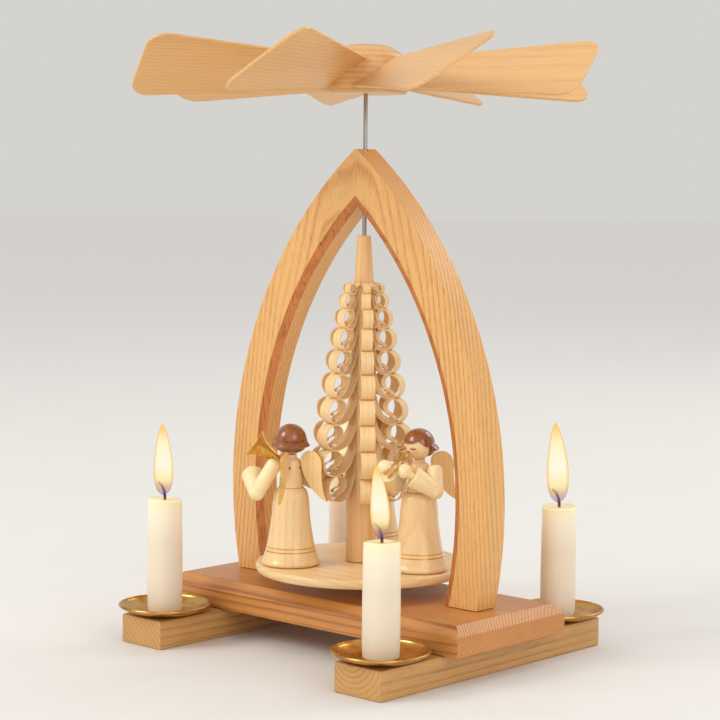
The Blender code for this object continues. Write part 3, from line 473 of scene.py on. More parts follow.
# Turning plate: a disc of pale limewood, turned flat with a rounded edge and clear lacquered.
# It is glued on the shaft just above the board, and the tree and the three angels stand on it.
PLATE_ROUNDING = 0.0014
PLATE_CORNER = PLATE_ROUNDING * 0.3
LIME = ((242, 206, 150), (214, 160, 96))
low, high, radius = round_box("turning_plate")
plate = turned("turning_plate_disc", [
    (shaft_radius, high, True), (radius - PLATE_ROUNDING, high, True),
    (radius - PLATE_CORNER, high - PLATE_CORNER), (radius, high - PLATE_ROUNDING), (radius, low + PLATE_ROUNDING),
    (radius - PLATE_CORNER, low + PLATE_CORNER), (radius - PLATE_ROUNDING, low, True),
    (shaft_radius, low, True)], steps=128)
plate_wood = wood("plate_limewood", *LIME, 0.0026, turn=along_x, pith=(0.060, 0.020), wander=0.008, rings=0.45,
                  pores=0.15, coat=0.35)
fit(plate, plate_wood, "spindle", "lime_wood", "turning_plate")

# Shaved tree: a turned stick of limewood whose sides are cut into curls with a chisel, ten to a column.
# Each shaving stays on the stick at its root, sweeps down and out and rolls up again into a hooked end.
# The bare post stands on the plate, and the smooth cone above the curls ends under the arch's crown.
TREE_POST = (0.0065, 0.0255)
TREE_CONE = (0.0041, 0.00275, 0.0195)
TREE_EASE = 0.0003
TREE_ROWS = 10
TREE_COLUMNS = 6
TREE_START = radians(20.0)
CURL_PITCH = (0.0108, 0.0040)
CURL_PITCH_EASE = 0.66
CURL_WIDTH = (0.0031, 0.0062)
CURL_REACH = (0.0088, 0.0226, 0.0192)
CURL_BELLY = 0.87
REACH_RANGE = (0.97, 1.0)
HOOK_RANGE = (-0.16, 0.16)
TURN_RANGE = (-0.035, 0.035)
CURL_SHAPE = (
    (-0.45, -0.92), (0.25, -0.99), (0.80, -0.62), (1.0, 0.0), (0.84, 0.60), (0.40, 0.95), (-0.15, 0.94),
    (-0.58, 0.66), (-0.70, 0.22), (-0.50, -0.18), (-0.18, -0.34), (0.08, -0.52), (0.06, -0.72))
SHAVING_THICKNESS = 0.0004
SHAVING_STEPS = 48
SHAVING_STEP = 0.0008
SHAVING_ROOT = (0.0008, 1.05)
SHAVING_SWEEP = ((0.05, 0.36), (0.32, -0.46))
SHAVING_HOLLOW = 0.035
SHAVING_TIP = ((0.56, 1.0), (1.0, 0.38))
GOUGE_RADIUS = 0.0020
GOUGE_DEPTH = 0.004
GOUGE_START = (0.0055, 0.0030)
GOUGE_TILT = radians(3.4)
tree_low, tree_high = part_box("shaved_tree")
shaved_low = tree_low.z + TREE_POST[1]
shaved_high = tree_high.z - TREE_CONE[2]


def keep_making_place(piece, shift=(0.0, 0.0, 0.0), unit=1.0):
    """Store where each point lay as the piece was made, so that its grain goes with it."""
    place = piece.data.attributes.new("making_place", "FLOAT_VECTOR", "POINT")
    for vert, spot in zip(piece.data.vertices, place.data):
        spot.vector = vert.co / unit + Vector(shift)


def smooth_path(points, count):
    """Evenly counted places on a smooth line through the points."""
    knots = [Vector(point) for point in points]
    knots = [2 * knots[0] - knots[1]] + knots + [2 * knots[-1] - knots[-2]]
    places = []
    for step in range(count + 1):
        along = step / count * (len(points) - 1)
        span = min(int(along), len(points) - 2)
        t = along - span
        a, b, c, d = knots[span:span + 4]
        places.append(0.5 * (2 * b + (c - a) * t + (2 * a - 5 * b + 4 * c - d) * t ** 2
                             + (3 * b - a - 3 * c + d) * t ** 3))
    return places


def shaving(middle, reach, height, width, hook):
    """One shaving: a flat strip, rolled along its path and given its thickness."""
    trunk = interp(middle, (shaved_low, shaved_high), (TREE_POST[0], TREE_CONE[0]))
    tall = height * 0.5
    deep = min(tall * 1.02, (reach - trunk - SHAVING_THICKNESS) / 2)
    centre = reach - deep
    path = [(trunk - SHAVING_ROOT[0], middle + SHAVING_ROOT[1] * tall)]
    path += [(trunk + out * (centre - trunk), middle + up * tall) for out, up in SHAVING_SWEEP]
    for index, (out, up) in enumerate(CURL_SHAPE):
        sway = hook * max(0.0, index - 6) / 6
        path.append((centre + deep * (out + sway), middle + tall * (up - 0.5 * sway)))
    places = smooth_path(path, SHAVING_STEPS)
    start_fresh()
    bpy.ops.mesh.primitive_grid_add(x_subdivisions=2, y_subdivisions=SHAVING_STEPS, size=1.0)
    strip = bpy.context.object
    for vert in strip.data.vertices:
        vert.co = (vert.co.x * width, 0.0, vert.co.y * SHAVING_STEPS * SHAVING_STEP)
    keep_making_place(strip, (middle * 7.0, reach * 3.0, hook * 0.3))
    for vert in strip.data.vertices:
        step = round(vert.co.z / SHAVING_STEP + SHAVING_STEPS / 2)
        across = vert.co.x / (width / 2)
        inset = SHAVING_HOLLOW * width * across ** 2
        narrow = interp(step / SHAVING_STEPS, *SHAVING_TIP)
        vert.co = (places[step].x - inset, vert.co.x * narrow, places[step].y)
    apply_modifier(strip, "SOLIDIFY", thickness=SHAVING_THICKNESS, offset=0.0)
    return strip


def copy_of(piece, name):
    """A copy of a piece with its own mesh."""
    made = piece.copy()
    made.data = piece.data.copy()
    bpy.context.scene.collection.objects.link(made)
    return named(name, made)


def discard(*pieces):
    """Put away pieces that were only copied from."""
    for piece in pieces:
        bpy.data.objects.remove(piece, do_unlink=True)


def join_into(piece, others):
    """Join other objects into a piece."""
    start_fresh(piece)
    for other in others:
        other.select_set(True)
    bpy.ops.object.join()


trunk = turned("shaved_tree_stick", [
    (shaft_radius, tree_high.z, True), (TREE_CONE[1] - TREE_EASE, tree_high.z, True),
    (TREE_CONE[1], tree_high.z - TREE_EASE, True), (TREE_CONE[0], shaved_high, True),
    (TREE_POST[0], shaved_low, True), (TREE_POST[0], tree_low.z, True), (shaft_radius, tree_low.z, True)],
    steps=48, smoothness=3)
start_fresh()
lying = (0.0, pi / 2, 0.0)
bpy.ops.mesh.primitive_cylinder_add(vertices=24, radius=GOUGE_RADIUS, depth=GOUGE_DEPTH, rotation=lying)
gouge = bpy.context.object
bpy.ops.object.transform_apply()
pick(gouge, "faces", lambda face: face.normal.z < -0.3)
bpy.ops.mesh.extrude_region_move(TRANSFORM_OT_translate={"value": (0.0, 0.0, -GOUGE_DEPTH)})
start_fresh()
columns = [TREE_START + column * 2 * pi / TREE_COLUMNS for column in range(TREE_COLUMNS)]
for azimuth in columns:
    cut = copy_of(gouge, "gouge_cut")
    start = (GOUGE_START[0], 0.0, shaved_high + GOUGE_START[1])
    place = Matrix.LocRotScale(start, Euler((0.0, GOUGE_TILT, 0.0)), None)
    cut.data.transform(Matrix.Rotation(azimuth, 4, "Z") @ place)
    cut_away(trunk, cut)
discard(gouge)
smooth(trunk, 30.0)
keep_making_place(trunk)

random.seed(24)
pitches = [interp(CURL_PITCH_EASE ** row, (0.0, 1.0), CURL_PITCH) for row in range(TREE_ROWS)]
stretch = (shaved_high - shaved_low) / sum(pitches)
curls = []
row_top = shaved_high
for row, pitch in enumerate(pitches):
    share = row / (TREE_ROWS - 1)
    height = pitch * stretch
    width = interp(share * 1.5, (0.0, 1.0), CURL_WIDTH)
    reach = interp(share, (0.0, CURL_BELLY, 1.0), CURL_REACH)
    for azimuth in columns:
        reached = reach * random.uniform(*REACH_RANGE)
        curl = shaving(row_top - height / 2, reached, height, width, random.uniform(*HOOK_RANGE))
        curl.data.transform(Matrix.Rotation(azimuth + random.uniform(*TURN_RANGE), 4, "Z"))
        curls.append(curl)
    row_top -= height
join_into(curls[0], curls[1:])
curled = named("shaved_tree_curls")
mend()
smooth(curled, 40.0)
curl_wood = wood("shaving_limewood", (246, 212, 156), (216, 160, 94), 0.0021, wander=0.002, fibre=2600.0,
                 rings=0.3, fibres=0.9, pores=0.0, coat=0.1, as_made=True)
stick_wood = wood("stick_limewood", (236, 190, 130), (204, 146, 84), 0.0024, pith=(0.012, 0.007), wander=0.002,
                  rings=0.4, fibres=0.8, pores=0.1, coat=0.2, as_made=True)
fit(curled, curl_wood, "spindle", "lime_wood")
fit(trunk, stick_wood, "spindle", "lime_wood", "shaved_tree")

# Wing wheel: a turned limewood hub with eight slanting saw cuts, and a thin plywood blade glued into each.
# The blades are cut with rounded outer corners and their edges are sanded.
HUB_DOME = 0.0050
HUB_TAPER = 0.0011
HUB_EASE = 0.0006
HUB_BANDS = (0.0004, 0.0008)
BLADE_COUNT = 8
BLADE_START = radians(18.6)
BLADE_PITCH = radians(33.3)
BLADE_RAISE = 0.0095
BLADE_RADII = (0.0097, 0.0943)
BLADE_ROOT = (-0.0125, 0.0070)
BLADE_TIP = (-0.0210, 0.0210)
BLADE_CORNER = 0.0091
BLADE_THICKNESS = 0.0012
BLADE_EASE = 0.0002
low, high, radius = round_box("wheel_hub")
hub_rim = high - HUB_DOME
hub = turned("wheel_hub_block", [
    (0.0, high), (radius * 0.62, hub_rim + HUB_DOME * 0.72), (radius - HUB_TAPER - HUB_EASE, hub_rim + HUB_EASE),
    (radius - HUB_TAPER, hub_rim - HUB_BANDS[0]), (radius, low + HUB_BANDS[1]), (radius - HUB_EASE, low, True),
    (0.0, low, True)], steps=72)
start_fresh()
bpy.ops.mesh.primitive_plane_add(size=1.0)
blade = bpy.context.object
blade_sides = [BLADE_ROOT[0], BLADE_TIP[0], BLADE_ROOT[1], BLADE_TIP[1]]
for vert, x, y in zip(blade.data.vertices, BLADE_RADII * 2, blade_sides):
    vert.co = (x, y, -BLADE_THICKNESS / 2)
pick(blade, "verts", lambda vert: vert.co.x > BLADE_RADII[1] / 2)
bpy.ops.mesh.bevel(offset=BLADE_CORNER, segments=10, affect="VERTICES")
pick_all()
bpy.ops.mesh.extrude_region_move(TRANSFORM_OT_translate={"value": (0.0, 0.0, BLADE_THICKNESS)})
mend()
saw_cut = copy_of(blade, "saw_cut")
ease_edges(blade, BLADE_EASE, angle=60.0, segments=1)
veneer = wood("blade_veneer", (232, 184, 122), (196, 136, 74), 0.0019, turn=along_x, pith=(-0.150, 0.030),
              fibre=2300.0, rings=0.35, fibres=1.0, pores=0.25, coat=0.08, as_made=True)


def set_in(piece, where, material, body, slot, *nodes):
    """Move a piece from where it was made to its place and fit it."""
    if "making_place" not in piece.data.attributes:
        keep_making_place(piece)
    piece.data.transform(where)
    fit(piece, material, body, slot, *nodes)


for index in range(BLADE_COUNT):
    heading = Euler((BLADE_PITCH, 0.0, BLADE_START + index * 2 * pi / BLADE_COUNT))
    turn = Matrix.LocRotScale((0.0, 0.0, low + BLADE_RAISE), heading, None)
    cut = copy_of(saw_cut, "saw_cut")
    cut.data.transform(turn)
    cut_away(hub, cut)
    wing = copy_of(blade, "blade_%d_plywood" % (index + 1))
    keep_making_place(wing, (0.13 * index, 0.047 * index, 0.003 * index))
    set_in(wing, turn, veneer, "spindle", "blade_veneer", "blade_%d" % (index + 1))
discard(blade, saw_cut)
smooth(hub, 35.0)
hub_wood = wood("hub_limewood", (226, 176, 112), (180, 122, 66), 0.0022, turn=along_x, pith=(0.012, 0.02),
                rings=0.6, fibres=0.8, pores=0.2, coat=0.2)
fit(hub, hub_wood, "spindle", "lime_wood", "wheel_hub")

# Drip trays: thin brass dishes, spun on a lathe, with the edge rolled to a bright bead.
# Each lies on a bar's end and is held by the steel spike that is driven through it.
TRAY_SHEET = 0.0006
TRAY_FLAT = 0.0108
TRAY_BEND = (0.0150, 0.0012)
TRAY_BEAD = ((0.0014, 0.0008), (0.0007, 0.0), (0.0, 0.0006), (0.0006, 0.0013))
corners = ("front_left", "front_right", "back_left", "back_right")
low, high, radius = round_box("drip_tray_front_right")
tray = turned("drip_tray", [
    (0.0, low + TRAY_SHEET, True), (TRAY_FLAT, low + TRAY_SHEET), (TRAY_BEND[0], low + TRAY_SHEET + TRAY_BEND[1]),
    *[(radius - inset, high - drop) for inset, drop in TRAY_BEAD], (TRAY_BEND[0], low + TRAY_BEND[1]),
    (TRAY_FLAT, low), (0.0, low, True)], steps=96)
brass, shader = finish("spun_brass", {"Metallic": 1.0})
as_made = place_of(shader, True)
spun = node(shader, "TexWave", {"Vector": as_made, "Scale": 420.0, "Distortion": 1.5, "Detail": 2.0},
            wave_type="RINGS", rings_direction="Z")
yellows = [(0.32, (176, 122, 58)), (0.52, (212, 164, 90)), (0.75, (226, 184, 112))]
vary(shader, noise(as_made, 130.0, 4.0), yellows, (0.36, 0.20, 0.3, 0.7))
vary(shader, spun[1], relief=(0.12, 0.00006))


def over(solid, height):
    """The way from the origin to a height over the middle of a solid."""
    low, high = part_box(solid)
    return Matrix.Translation(((low.x + high.x) / 2, (low.y + high.y) / 2, height))


for corner in corners:
    solid = "drip_tray_" + corner
    set_in(copy_of(tray, solid + "_dish"), over(solid, 0.0), brass, "stand", "tray_brass", solid)
discard(tray)

# Candle spikes: short steel pins, driven through the trays into the bars, with a ground point.
# A candle is pushed down on each, so they show only when it is lifted off.
SPIKE_POINT = (0.0014, 0.0030)
low, high, radius = round_box("candle_spike_front_right")
spike = turned("candle_spike", [
    (0.0, high, True), (radius * 0.55, high - SPIKE_POINT[0]), (radius, high - SPIKE_POINT[1]),
    (radius, low, True), (0.0, low, True)], steps=24)
for corner in corners:
    solid = "candle_spike_" + corner
    set_in(copy_of(spike, solid + "_pin"), over(solid, 0.0), steel, "stand", "shaft_steel", solid)
discard(spike)

# Candles: drawn stearin candles in cream, each burnt to its own height with a soft, uneven rim round the pool.
# They stand in the trays on the spikes and lift straight off.
CANDLE_LEAN = {"front_left": 0.9, "front_right": 2.4, "back_left": 4.0, "back_right": 5.2}
CANDLE_TOP = ((0.0, -0.0011), (0.45, -0.0011), (0.74, -0.0006), (0.90, -0.0001), (0.985, -0.0004), (1.0, -0.0015))
CANDLE_FOOT = (0.0005, 0.0006)
CANDLE_SAG = (0.00055, 0.0004, 0.00015)
SOFT_RIM = 0.006


def height_of(place):
    """A place's height."""
    return node(place, "SeparateXYZ", {0: place})[2]


wax, shader = finish("cream_stearin", {
    "Subsurface Weight": 0.25, "Subsurface Radius": (0.004, 0.003, 0.002), "Subsurface Scale": 1.0})
as_made = place_of(shader, True)
mottle = noise(as_made, 240.0, 5.0)
# Painted light: the wax is painted lighter and warmer towards its top and brightest at the rim, for the flame's
# glow in it; it is also smoother there
near_top = spread(number("MULTIPLY_ADD", mottle, 0.004, height_of(as_made)), 0.0, 1.0, -0.016, 0.004)
creams = [(0.0, (236, 222, 200)), (0.55, (247, 236, 212)), (0.85, (254, 240, 200)), (1.0, (252, 226, 168))]
vary(shader, near_top, creams, (0.45, 0.22))
vary(shader, mottle, relief=(0.10, 0.0002))
for corner in corners:
    solid = "candle_" + corner
    low, high, radius = round_box(solid)
    foot = low - high
    candle = turned(solid + "_stick", [(radius * out, up) for out, up in CANDLE_TOP] + [
        (radius, foot + CANDLE_FOOT[1]), (radius - CANDLE_FOOT[0], foot, True), (0.0, foot, True)])
    for vert in candle.data.vertices:
        around = atan2(vert.co.y, vert.co.x)
        rim = max(0.0, 1.0 + vert.co.z / SOFT_RIM) * hypot(vert.co.x, vert.co.y) / radius
        vert.co.z -= rim * (CANDLE_SAG[0] + CANDLE_SAG[1] * cos(around - CANDLE_LEAN[corner])
                            + CANDLE_SAG[2] * cos(3 * around + CANDLE_LEAN[corner]))
    set_in(candle, over(solid, high), wax, solid, "candle_wax", solid)

# Wicks: plaited cotton cords, drawn in with the wax when the candles are made.
# They are burnt black above the pool and bend over at the top, where the tip's glow is painted on in dark red.
WICK_BEND = ((0.0, 0.0, -0.0004), (0.0002, 0.0, 0.0026), (0.0009, 0.0, 0.0049), (0.00225, 0.0, 0.00675),
             (0.00315, 0.0, 0.0074))
WICK_RADII = (0.0006, 0.0006, 0.00058, 0.00052, 0.0004)
WICK_TURN = radians(222.0)
WICK_SINK = 0.0010
char, shader = finish("charred_wick_painted_ember", {"Roughness": 0.85})
as_made = place_of(shader, True)
plait = node(shader, "TexWave", {"Vector": as_made, "Scale": 330.0, "Distortion": 2.5, "Detail": 2.0},
             bands_direction="DIAGONAL")[1]
char_and_ember_glow = spread(number("MULTIPLY_ADD", plait, 0.0009, height_of(as_made)), 0.0, 1.0, 0.0, 0.0082)
# Painted light: the dark red at the very top stands for the ember's glow; below it the wick is charred black, and
# brown at the foot
vary(shader, char_and_ember_glow, [(0.0, (150, 110, 74)), (0.25, (56, 40, 34)), (0.85, (34, 26, 24)), (1.0, (120, 52, 24))])
vary(shader, plait, relief=(0.5, 0.00015))


def tube(name, points, radii, sharp=False, roundness=6, smoothness=6):
    """A round bar along a smooth line, with its own radius at each point and flat ends."""
    line = smooth_line([(place, sharp) for place in points], smoothness)
    line.bevel_depth = max(radii)
    line.bevel_resolution = roundness
    line.use_fill_caps = True
    for point, radius in zip(line.splines[0].bezier_points, radii):
        point.radius = radius / max(radii)
    bpy.ops.object.convert(target="MESH")
    piece = named(name)
    mend(merge=True)
    smooth(piece, 40.0)
    return piece


for corner in corners:
    solid = "candle_" + corner
    place = over(solid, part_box(solid)[1].z - WICK_SINK) @ Matrix.Rotation(WICK_TURN, 4, "Z")
    wick = tube("wick_%s_plait" % corner, WICK_BEND, WICK_RADII)
    set_in(wick, place, char, solid, "wick_char", "wick_" + corner)

# Flames: the lit candles' flames as painted light, glowing surfaces and no lamps, blue at the foot, yellow in the
# body and drawn out to a point.
# They stand round the wicks and belong to the candles.
FLAME_HEIGHT = {"front_left": 0.0296, "front_right": 0.0272, "back_left": 0.0280, "back_right": 0.0330}
FLAME_LEAN = {"front_left": 0.0005, "front_right": 0.0020, "back_left": 0.0010, "back_right": 0.0016}
FLAME_PROFILE = (
    (0.0, 1.0), (0.020, 0.97), (0.042, 0.92), (0.074, 0.81), (0.110, 0.63), (0.132, 0.43), (0.132, 0.26),
    (0.112, 0.125), (0.064, 0.035), (0.0, 0.0))
FLAME_RAISE = 0.0008
FLAME_SHIFT = 0.0006
glow, shader = finish("candle_flame", {
    "Base Color": shade(20, 12, 6), "Roughness": 1.0, "Emission Strength": 1.0, "Specular IOR Level": 0.0})
as_made = place_of(shader, True)
level = number("MULTIPLY_ADD", noise(as_made, 160.0, 1.0), 0.10, height_of(as_made))
core = ramp(level, [
    (0.04, (70, 92, 190)), (0.15, (206, 150, 116)), (0.26, (255, 236, 172)), (0.50, (255, 251, 226)),
    (0.82, (255, 244, 196)), (1.02, (254, 208, 110))])
skirt = ramp(level, [
    (0.04, (60, 84, 196)), (0.17, (214, 140, 84)), (0.34, (253, 196, 92)), (1.02, (250, 178, 72))])
# Painted light: the flame glows by emission, and its orange skirt is painted towards the outline by how each
# point faces the view
facing = node(shader, "LayerWeight", {"Blend": 0.5})
rim = ramp(facing["Facing"], [(0.30, 0.0), (0.80, 1.0)])
thick = ramp(level, [(0.02, 0.35), (0.16, 0.45), (0.34, 0.92), (1.0, 0.95)])
feed(shader, {"Emission Color": paint_over(core, rim, skirt), "Alpha": thick})
lean = Vector((cos(WICK_TURN), sin(WICK_TURN), 0.0))
for corner in corners:
    solid = "candle_" + corner
    tall = FLAME_HEIGHT[corner]
    profile = [(out * tall, up * tall) for out, up in FLAME_PROFILE]
    flame = turned("flame_" + corner, profile, steps=40, smoothness=5)
    keep_making_place(flame, unit=tall)
    for vert in flame.data.vertices:
        vert.co += lean * FLAME_LEAN[corner] * (vert.co.z / tall) ** 2
    place = Matrix.Translation(lean * FLAME_SHIFT) @ over(solid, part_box(solid)[1].z + FLAME_RAISE)
    set_in(flame, place, glow, solid, "wick_char")

# Angels' bodies: dress, waist, torso and neck turned from one piece of limewood and clear lacquered.
# Two fine gold lines are painted round the hem on the lathe, and two small dark spots are painted on the back.
DRESS_HEIGHT = 0.0315
BODY_PROFILE = (
    (0.0, 0.0449, True), (0.0023, 0.0449, True), (0.0023, 0.0437), (0.0033, 0.0430), (0.0040, 0.0415),
    (0.0044, 0.0375), (0.0049, 0.0317, True), (0.0051, 0.0315, True), (0.0064, 0.0301), (0.0072, 0.0273),
    (0.0079, 0.0195), (0.0088, 0.0130), (0.0099, 0.0072), (0.0112, 0.0028), (0.0119, 0.0008), (0.0113, 0.0, True),
    (0.0, 0.0, True))
HEM_LINES = ((0.0073, 0.00018), (0.0058, 0.00022))
ANGEL_TURNS = {"flute_angel": 0.0, "piper_angel": 0.0, "horn_angel": radians(6.0)}
angels = tuple(ANGEL_TURNS)
stands = {}
for angel in angels:
    low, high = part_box(angel + "_body")
    out = atan2((low.y + high.y) / 2, (low.x + high.x) / 2)
    stands[angel] = over(angel + "_body", low.z) @ Matrix.Rotation(out - pi / 2 + ANGEL_TURNS[angel], 4, "Z")


def band(value, middle, half, soft):
    """A mask that is white where a value lies within a narrow band."""
    away = number("ABSOLUTE", number("SUBTRACT", value, middle))
    return spread(away, 1.0, 0.0, half, half + soft)


def spot_mask(place, middle, half, soft, stretch=(1.0, 1.0, 1.0)):
    """A mask that is white inside a small round or oval spot."""
    off = vector("MULTIPLY", vector("SUBTRACT", place, middle), stretch)
    away = node(place, "VectorMath", {0: off}, operation="LENGTH")["Value"]
    return spread(away, 1.0, 0.0, half, half + soft)


def largest(masks):
    """The brightest of several masks."""
    most = masks[0]
    for mask in masks[1:]:
        most = number("MAXIMUM", most, mask)
    return most


def bare(material):
    """A wood's shader, its colour before painting and its place as made."""
    nodes = material.node_tree.nodes
    colour = nodes["Principled BSDF"].inputs["Base Color"].links[0].from_socket
    return nodes["Principled BSDF"], colour, nodes["Attribute"].outputs["Vector"]


dress_wood = wood("dress_limewood", *LIME, 0.0030, pith=(0.016, 0.010), rings=0.35, fibres=0.8, pores=0.1,
                  coat=0.7, as_made=True)
shader, painted, as_made = bare(dress_wood)
height = height_of(as_made)
hem = largest([band(height, middle, half, 0.00010) for middle, half in HEM_LINES])
# A darker line is painted round the small step at the waist, where the torso meets the dress
waist_line = band(height, DRESS_HEIGHT, 0.00006, 0.00012)
# Two small dark spots are painted on the back
back_spots = largest([spot_mask(as_made, (-0.0037, side * 0.0024, 0.0397), 0.0005, 0.0001) for side in (-1, 1)])
for mask, colour in ((hem, (206, 148, 58)), (waist_line, (176, 120, 64)), (back_spots, (112, 64, 28))):
    painted = paint_over(painted, mask, shade(*colour))
feed(shader, {"Base Color": painted, "Metallic": number("MULTIPLY", hem, 0.4), "Coat Roughness": 0.16})
body = turned("angel_body", BODY_PROFILE, steps=72)
for angel in angels:
    figure = copy_of(body, angel + "_body_turned")
    set_in(figure, stands[angel], dress_wood, "spindle", "lime_wood", angel + "_body")
discard(body)

# Angels' heads: turned limewood balls, each with a small nose and a round chin, clear lacquered.
# The lowered lashes, the cheeks and the mouth are painted on with a fine brush.
HEAD_RADIUS = 0.0060
HEAD_PLACE = Matrix.Translation((0.0005, 0.0, 0.0508))
HEAD_TURNS = {"flute_angel": -10.0, "piper_angel": -8.0, "horn_angel": -10.0}
NOSE_DIP = radians(18.0)
NOSE = Vector((cos(NOSE_DIP), 0.0, -sin(NOSE_DIP)))
NOSE_SIZE = (0.17, 0.05)
CHIN_DROP = 0.0004
start_fresh()
bpy.ops.mesh.primitive_uv_sphere_add(segments=64, ring_count=40, radius=HEAD_RADIUS)
head = bpy.context.object
for vert in head.data.vertices:
    off = (vert.co / HEAD_RADIUS - NOSE).length
    vert.co *= 1.0 + NOSE_SIZE[1] * max(0.0, 1.0 - (off / NOSE_SIZE[0]) ** 2) ** 2
    vert.co.z -= CHIN_DROP * max(0.0, vert.co.x / HEAD_RADIUS) * max(0.0, -vert.co.z / HEAD_RADIUS)
bpy.ops.object.shade_smooth()
face_wood = wood("face_limewood", (246, 212, 160), (224, 172, 110), 0.0030, pith=(0.014, 0.004), wander=0.002,
                 rings=0.3, fibres=0.6, pores=0.0, coat=0.4, as_made=True)
shader, painted, as_made = bare(face_wood)
lids = []
folds = []
cheeks = []
for side in (-1, 1):
    lids.append(spot_mask(as_made, (0.0053, side * 0.0024, -0.0013), 0.0012, 0.0002, (1.0, 1.0, 2.1)))
    folds.append(spot_mask(as_made, (0.0053, side * 0.0024, -0.0008), 0.0012, 0.0002, (1.0, 1.0, 2.1)))
    cheeks.append(spot_mask(as_made, (0.0044, side * 0.0035, -0.0026), 0.0003, 0.0014))
lid = largest(lids)
blush = number("MULTIPLY", largest(cheeks), 0.35)
tint = number("MULTIPLY", lid, 0.55)
lashes = number("SUBTRACT", lid, largest(folds), clamp=True)
lips = spot_mask(as_made, (0.0053, 0.0, -0.0028), 0.0007, 0.0002, (1.0, 1.0, 1.8))
for mask, colour in (
        (blush, (226, 128, 92)), (tint, (206, 70, 46)), (lashes, (132, 34, 20)), (lips, (196, 58, 42))):
    painted = paint_over(painted, mask, shade(*colour))
feed(shader, {"Base Color": painted})
for angel in angels:
    face = copy_of(head, angel + "_head_turned")
    turn = Matrix.Rotation(radians(HEAD_TURNS[angel]), 4, "Z")
    set_in(face, stands[angel] @ HEAD_PLACE @ turn, face_wood, "spindle", "lime_wood", angel + "_head")
discard(head)

# Angels' hair: a turned cap with a rolled brim at the nape, carved away over the face to a scalloped fringe.
# It is stained brown, lacquered to a gloss and glued on the head.
HAIR_INNER = 0.00602
HAIR_OUTER = 0.00645
HAIR_EASE = 0.00015
HAIR_BEADS = ((0.0019, -14.0, 7.5), (0.0004, -31.0, 10.0), (0.0004, -5.0, 2.5), (-0.0004, 1.0, 2.6),
              (-0.0004, -24.0, 3.0))
HAIR_SETS = {"flute_angel": (-10.0, 4.0), "piper_angel": (-8.0, 2.0), "horn_angel": (-25.0, -5.0)}


def hairline(away):
    """How low the hair comes, in degrees of elevation, so many degrees away from the face."""
    if away < 48.0:
        return 10.0 + 10.0 * (away / 48.0) ** 3
    if away < 92.0:
        return 20.0 - 25.0 * sin(radians((away - 48.0) / 40.0 * 90.0))
    return interp(away, (92.0, 99.0), (-2.0, -46.0))


start_fresh()
bpy.ops.mesh.primitive_uv_sphere_add(segments=96, ring_count=88, radius=HAIR_OUTER)
hair = bpy.context.object
pick_all()
bpy.ops.mesh.bisect(plane_co=(0.0, 0.0, 0.0), plane_no=(0.0, 0.0, 1.0), clear_inner=True)
bpy.ops.object.mode_set(mode="OBJECT")
for vert in hair.data.vertices:
    around = atan2(vert.co.y, vert.co.x)
    away = abs(degrees(around))
    share = 1.0 - asin(max(-1.0, min(1.0, vert.co.z / HAIR_OUTER))) / (pi / 2)
    up = 90.0 - share * (90.0 - hairline(away))
    nape = interp(away, (88.0, 106.0), (0.0, 1.0))
    nape = nape * nape * (3.0 - 2.0 * nape)
    roll = sum(rise * exp(-((up - middle) / width) ** 2) for rise, middle, width in HAIR_BEADS)
    level = radians(up)
    spot = Vector((cos(around) * cos(level), sin(around) * cos(level), sin(level)))
    vert.co = spot * (HAIR_OUTER + nape * roll)
apply_modifier(hair, "SOLIDIFY", thickness=HAIR_OUTER - HAIR_INNER, offset=-1.0)
ease_edges(hair, HAIR_EASE, angle=45.0)
smooth(hair, 60.0)
lacquer, shader = finish("brown_hair_lacquer", {"Coat Weight": 0.9, "Coat Roughness": 0.08})
strands = noise(vector("MULTIPLY", place_of(shader, True), (1.0, 1.0, 0.25)), 420.0, 3.0)
browns = [(0.25, (114, 56, 18)), (0.50, (142, 74, 26)), (0.78, (166, 94, 38))]
vary(shader, strands, browns, (0.22, 0.38), (0.08, 0.0001))
for angel in angels:
    turn, tilt = [radians(angle) for angle in HAIR_SETS[angel]]
    place = stands[angel] @ HEAD_PLACE @ Matrix.Rotation(turn, 4, "Z") @ Matrix.Rotation(tilt, 4, "Y")
    set_in(copy_of(hair, angel + "_hair_cap"), place, lacquer, "spindle", "hair_lacquer", angel + "_hair")
discard(hair)

# Angels' wings: fretted from thin limewood to a leaf with a swept tail, glued edge-on to the back.
# The sawn edge is gilded all round, and the faces are left clear.
WING_HEIGHT = 0.0203
WING_WIDTH = 0.0100
WING_HALF = 0.0005
WING_EASE = 0.00012
WING_SPREAD = radians(40.0)
WING_ROOT = 0.0046
WING_TOPS = {"flute_angel": 0.0478, "piper_angel": 0.0477, "horn_angel": 0.0468}
WING_SHAPE = (
    (0.0, -0.16), (0.10, -0.06), (0.42, 0.0), (0.72, -0.04), (0.90, -0.18), (0.93, -0.46), (1.00, -0.74),
    (1.18, -1.0, True), (0.84, -0.905), (0.48, -0.74), (0.18, -0.53), (0.02, -0.32))
sides = (("left", 1), ("right", -1))
outline = [((WING_WIDTH * spot[0], WING_HEIGHT * spot[1], 0.0), len(spot) > 2) for spot in WING_SHAPE]
line = smooth_line(outline, 6, closed=True)
line.dimensions = "2D"
line.fill_mode = "BOTH"
line.extrude = WING_HALF
bpy.ops.object.convert(target="MESH")
wing = bpy.context.object
mend(merge=True)
ease_edges(wing, WING_EASE, angle=60.0, segments=1)
wing_wood = wood("wing_limewood", (246, 208, 146), (220, 164, 96), 0.0022, turn=along_y, pith=(0.03, 0.02),
                 rings=0.35, pores=0.1, coat=0.35, as_made=True)
gilt, shader = finish("gilt", {"Metallic": 0.85})
golds = [(0.25, (206, 150, 66)), (0.50, (234, 186, 96)), (0.78, (244, 208, 128))]
vary(shader, noise(place_of(shader), 700.0, 4.0), golds, (0.22, 0.42))
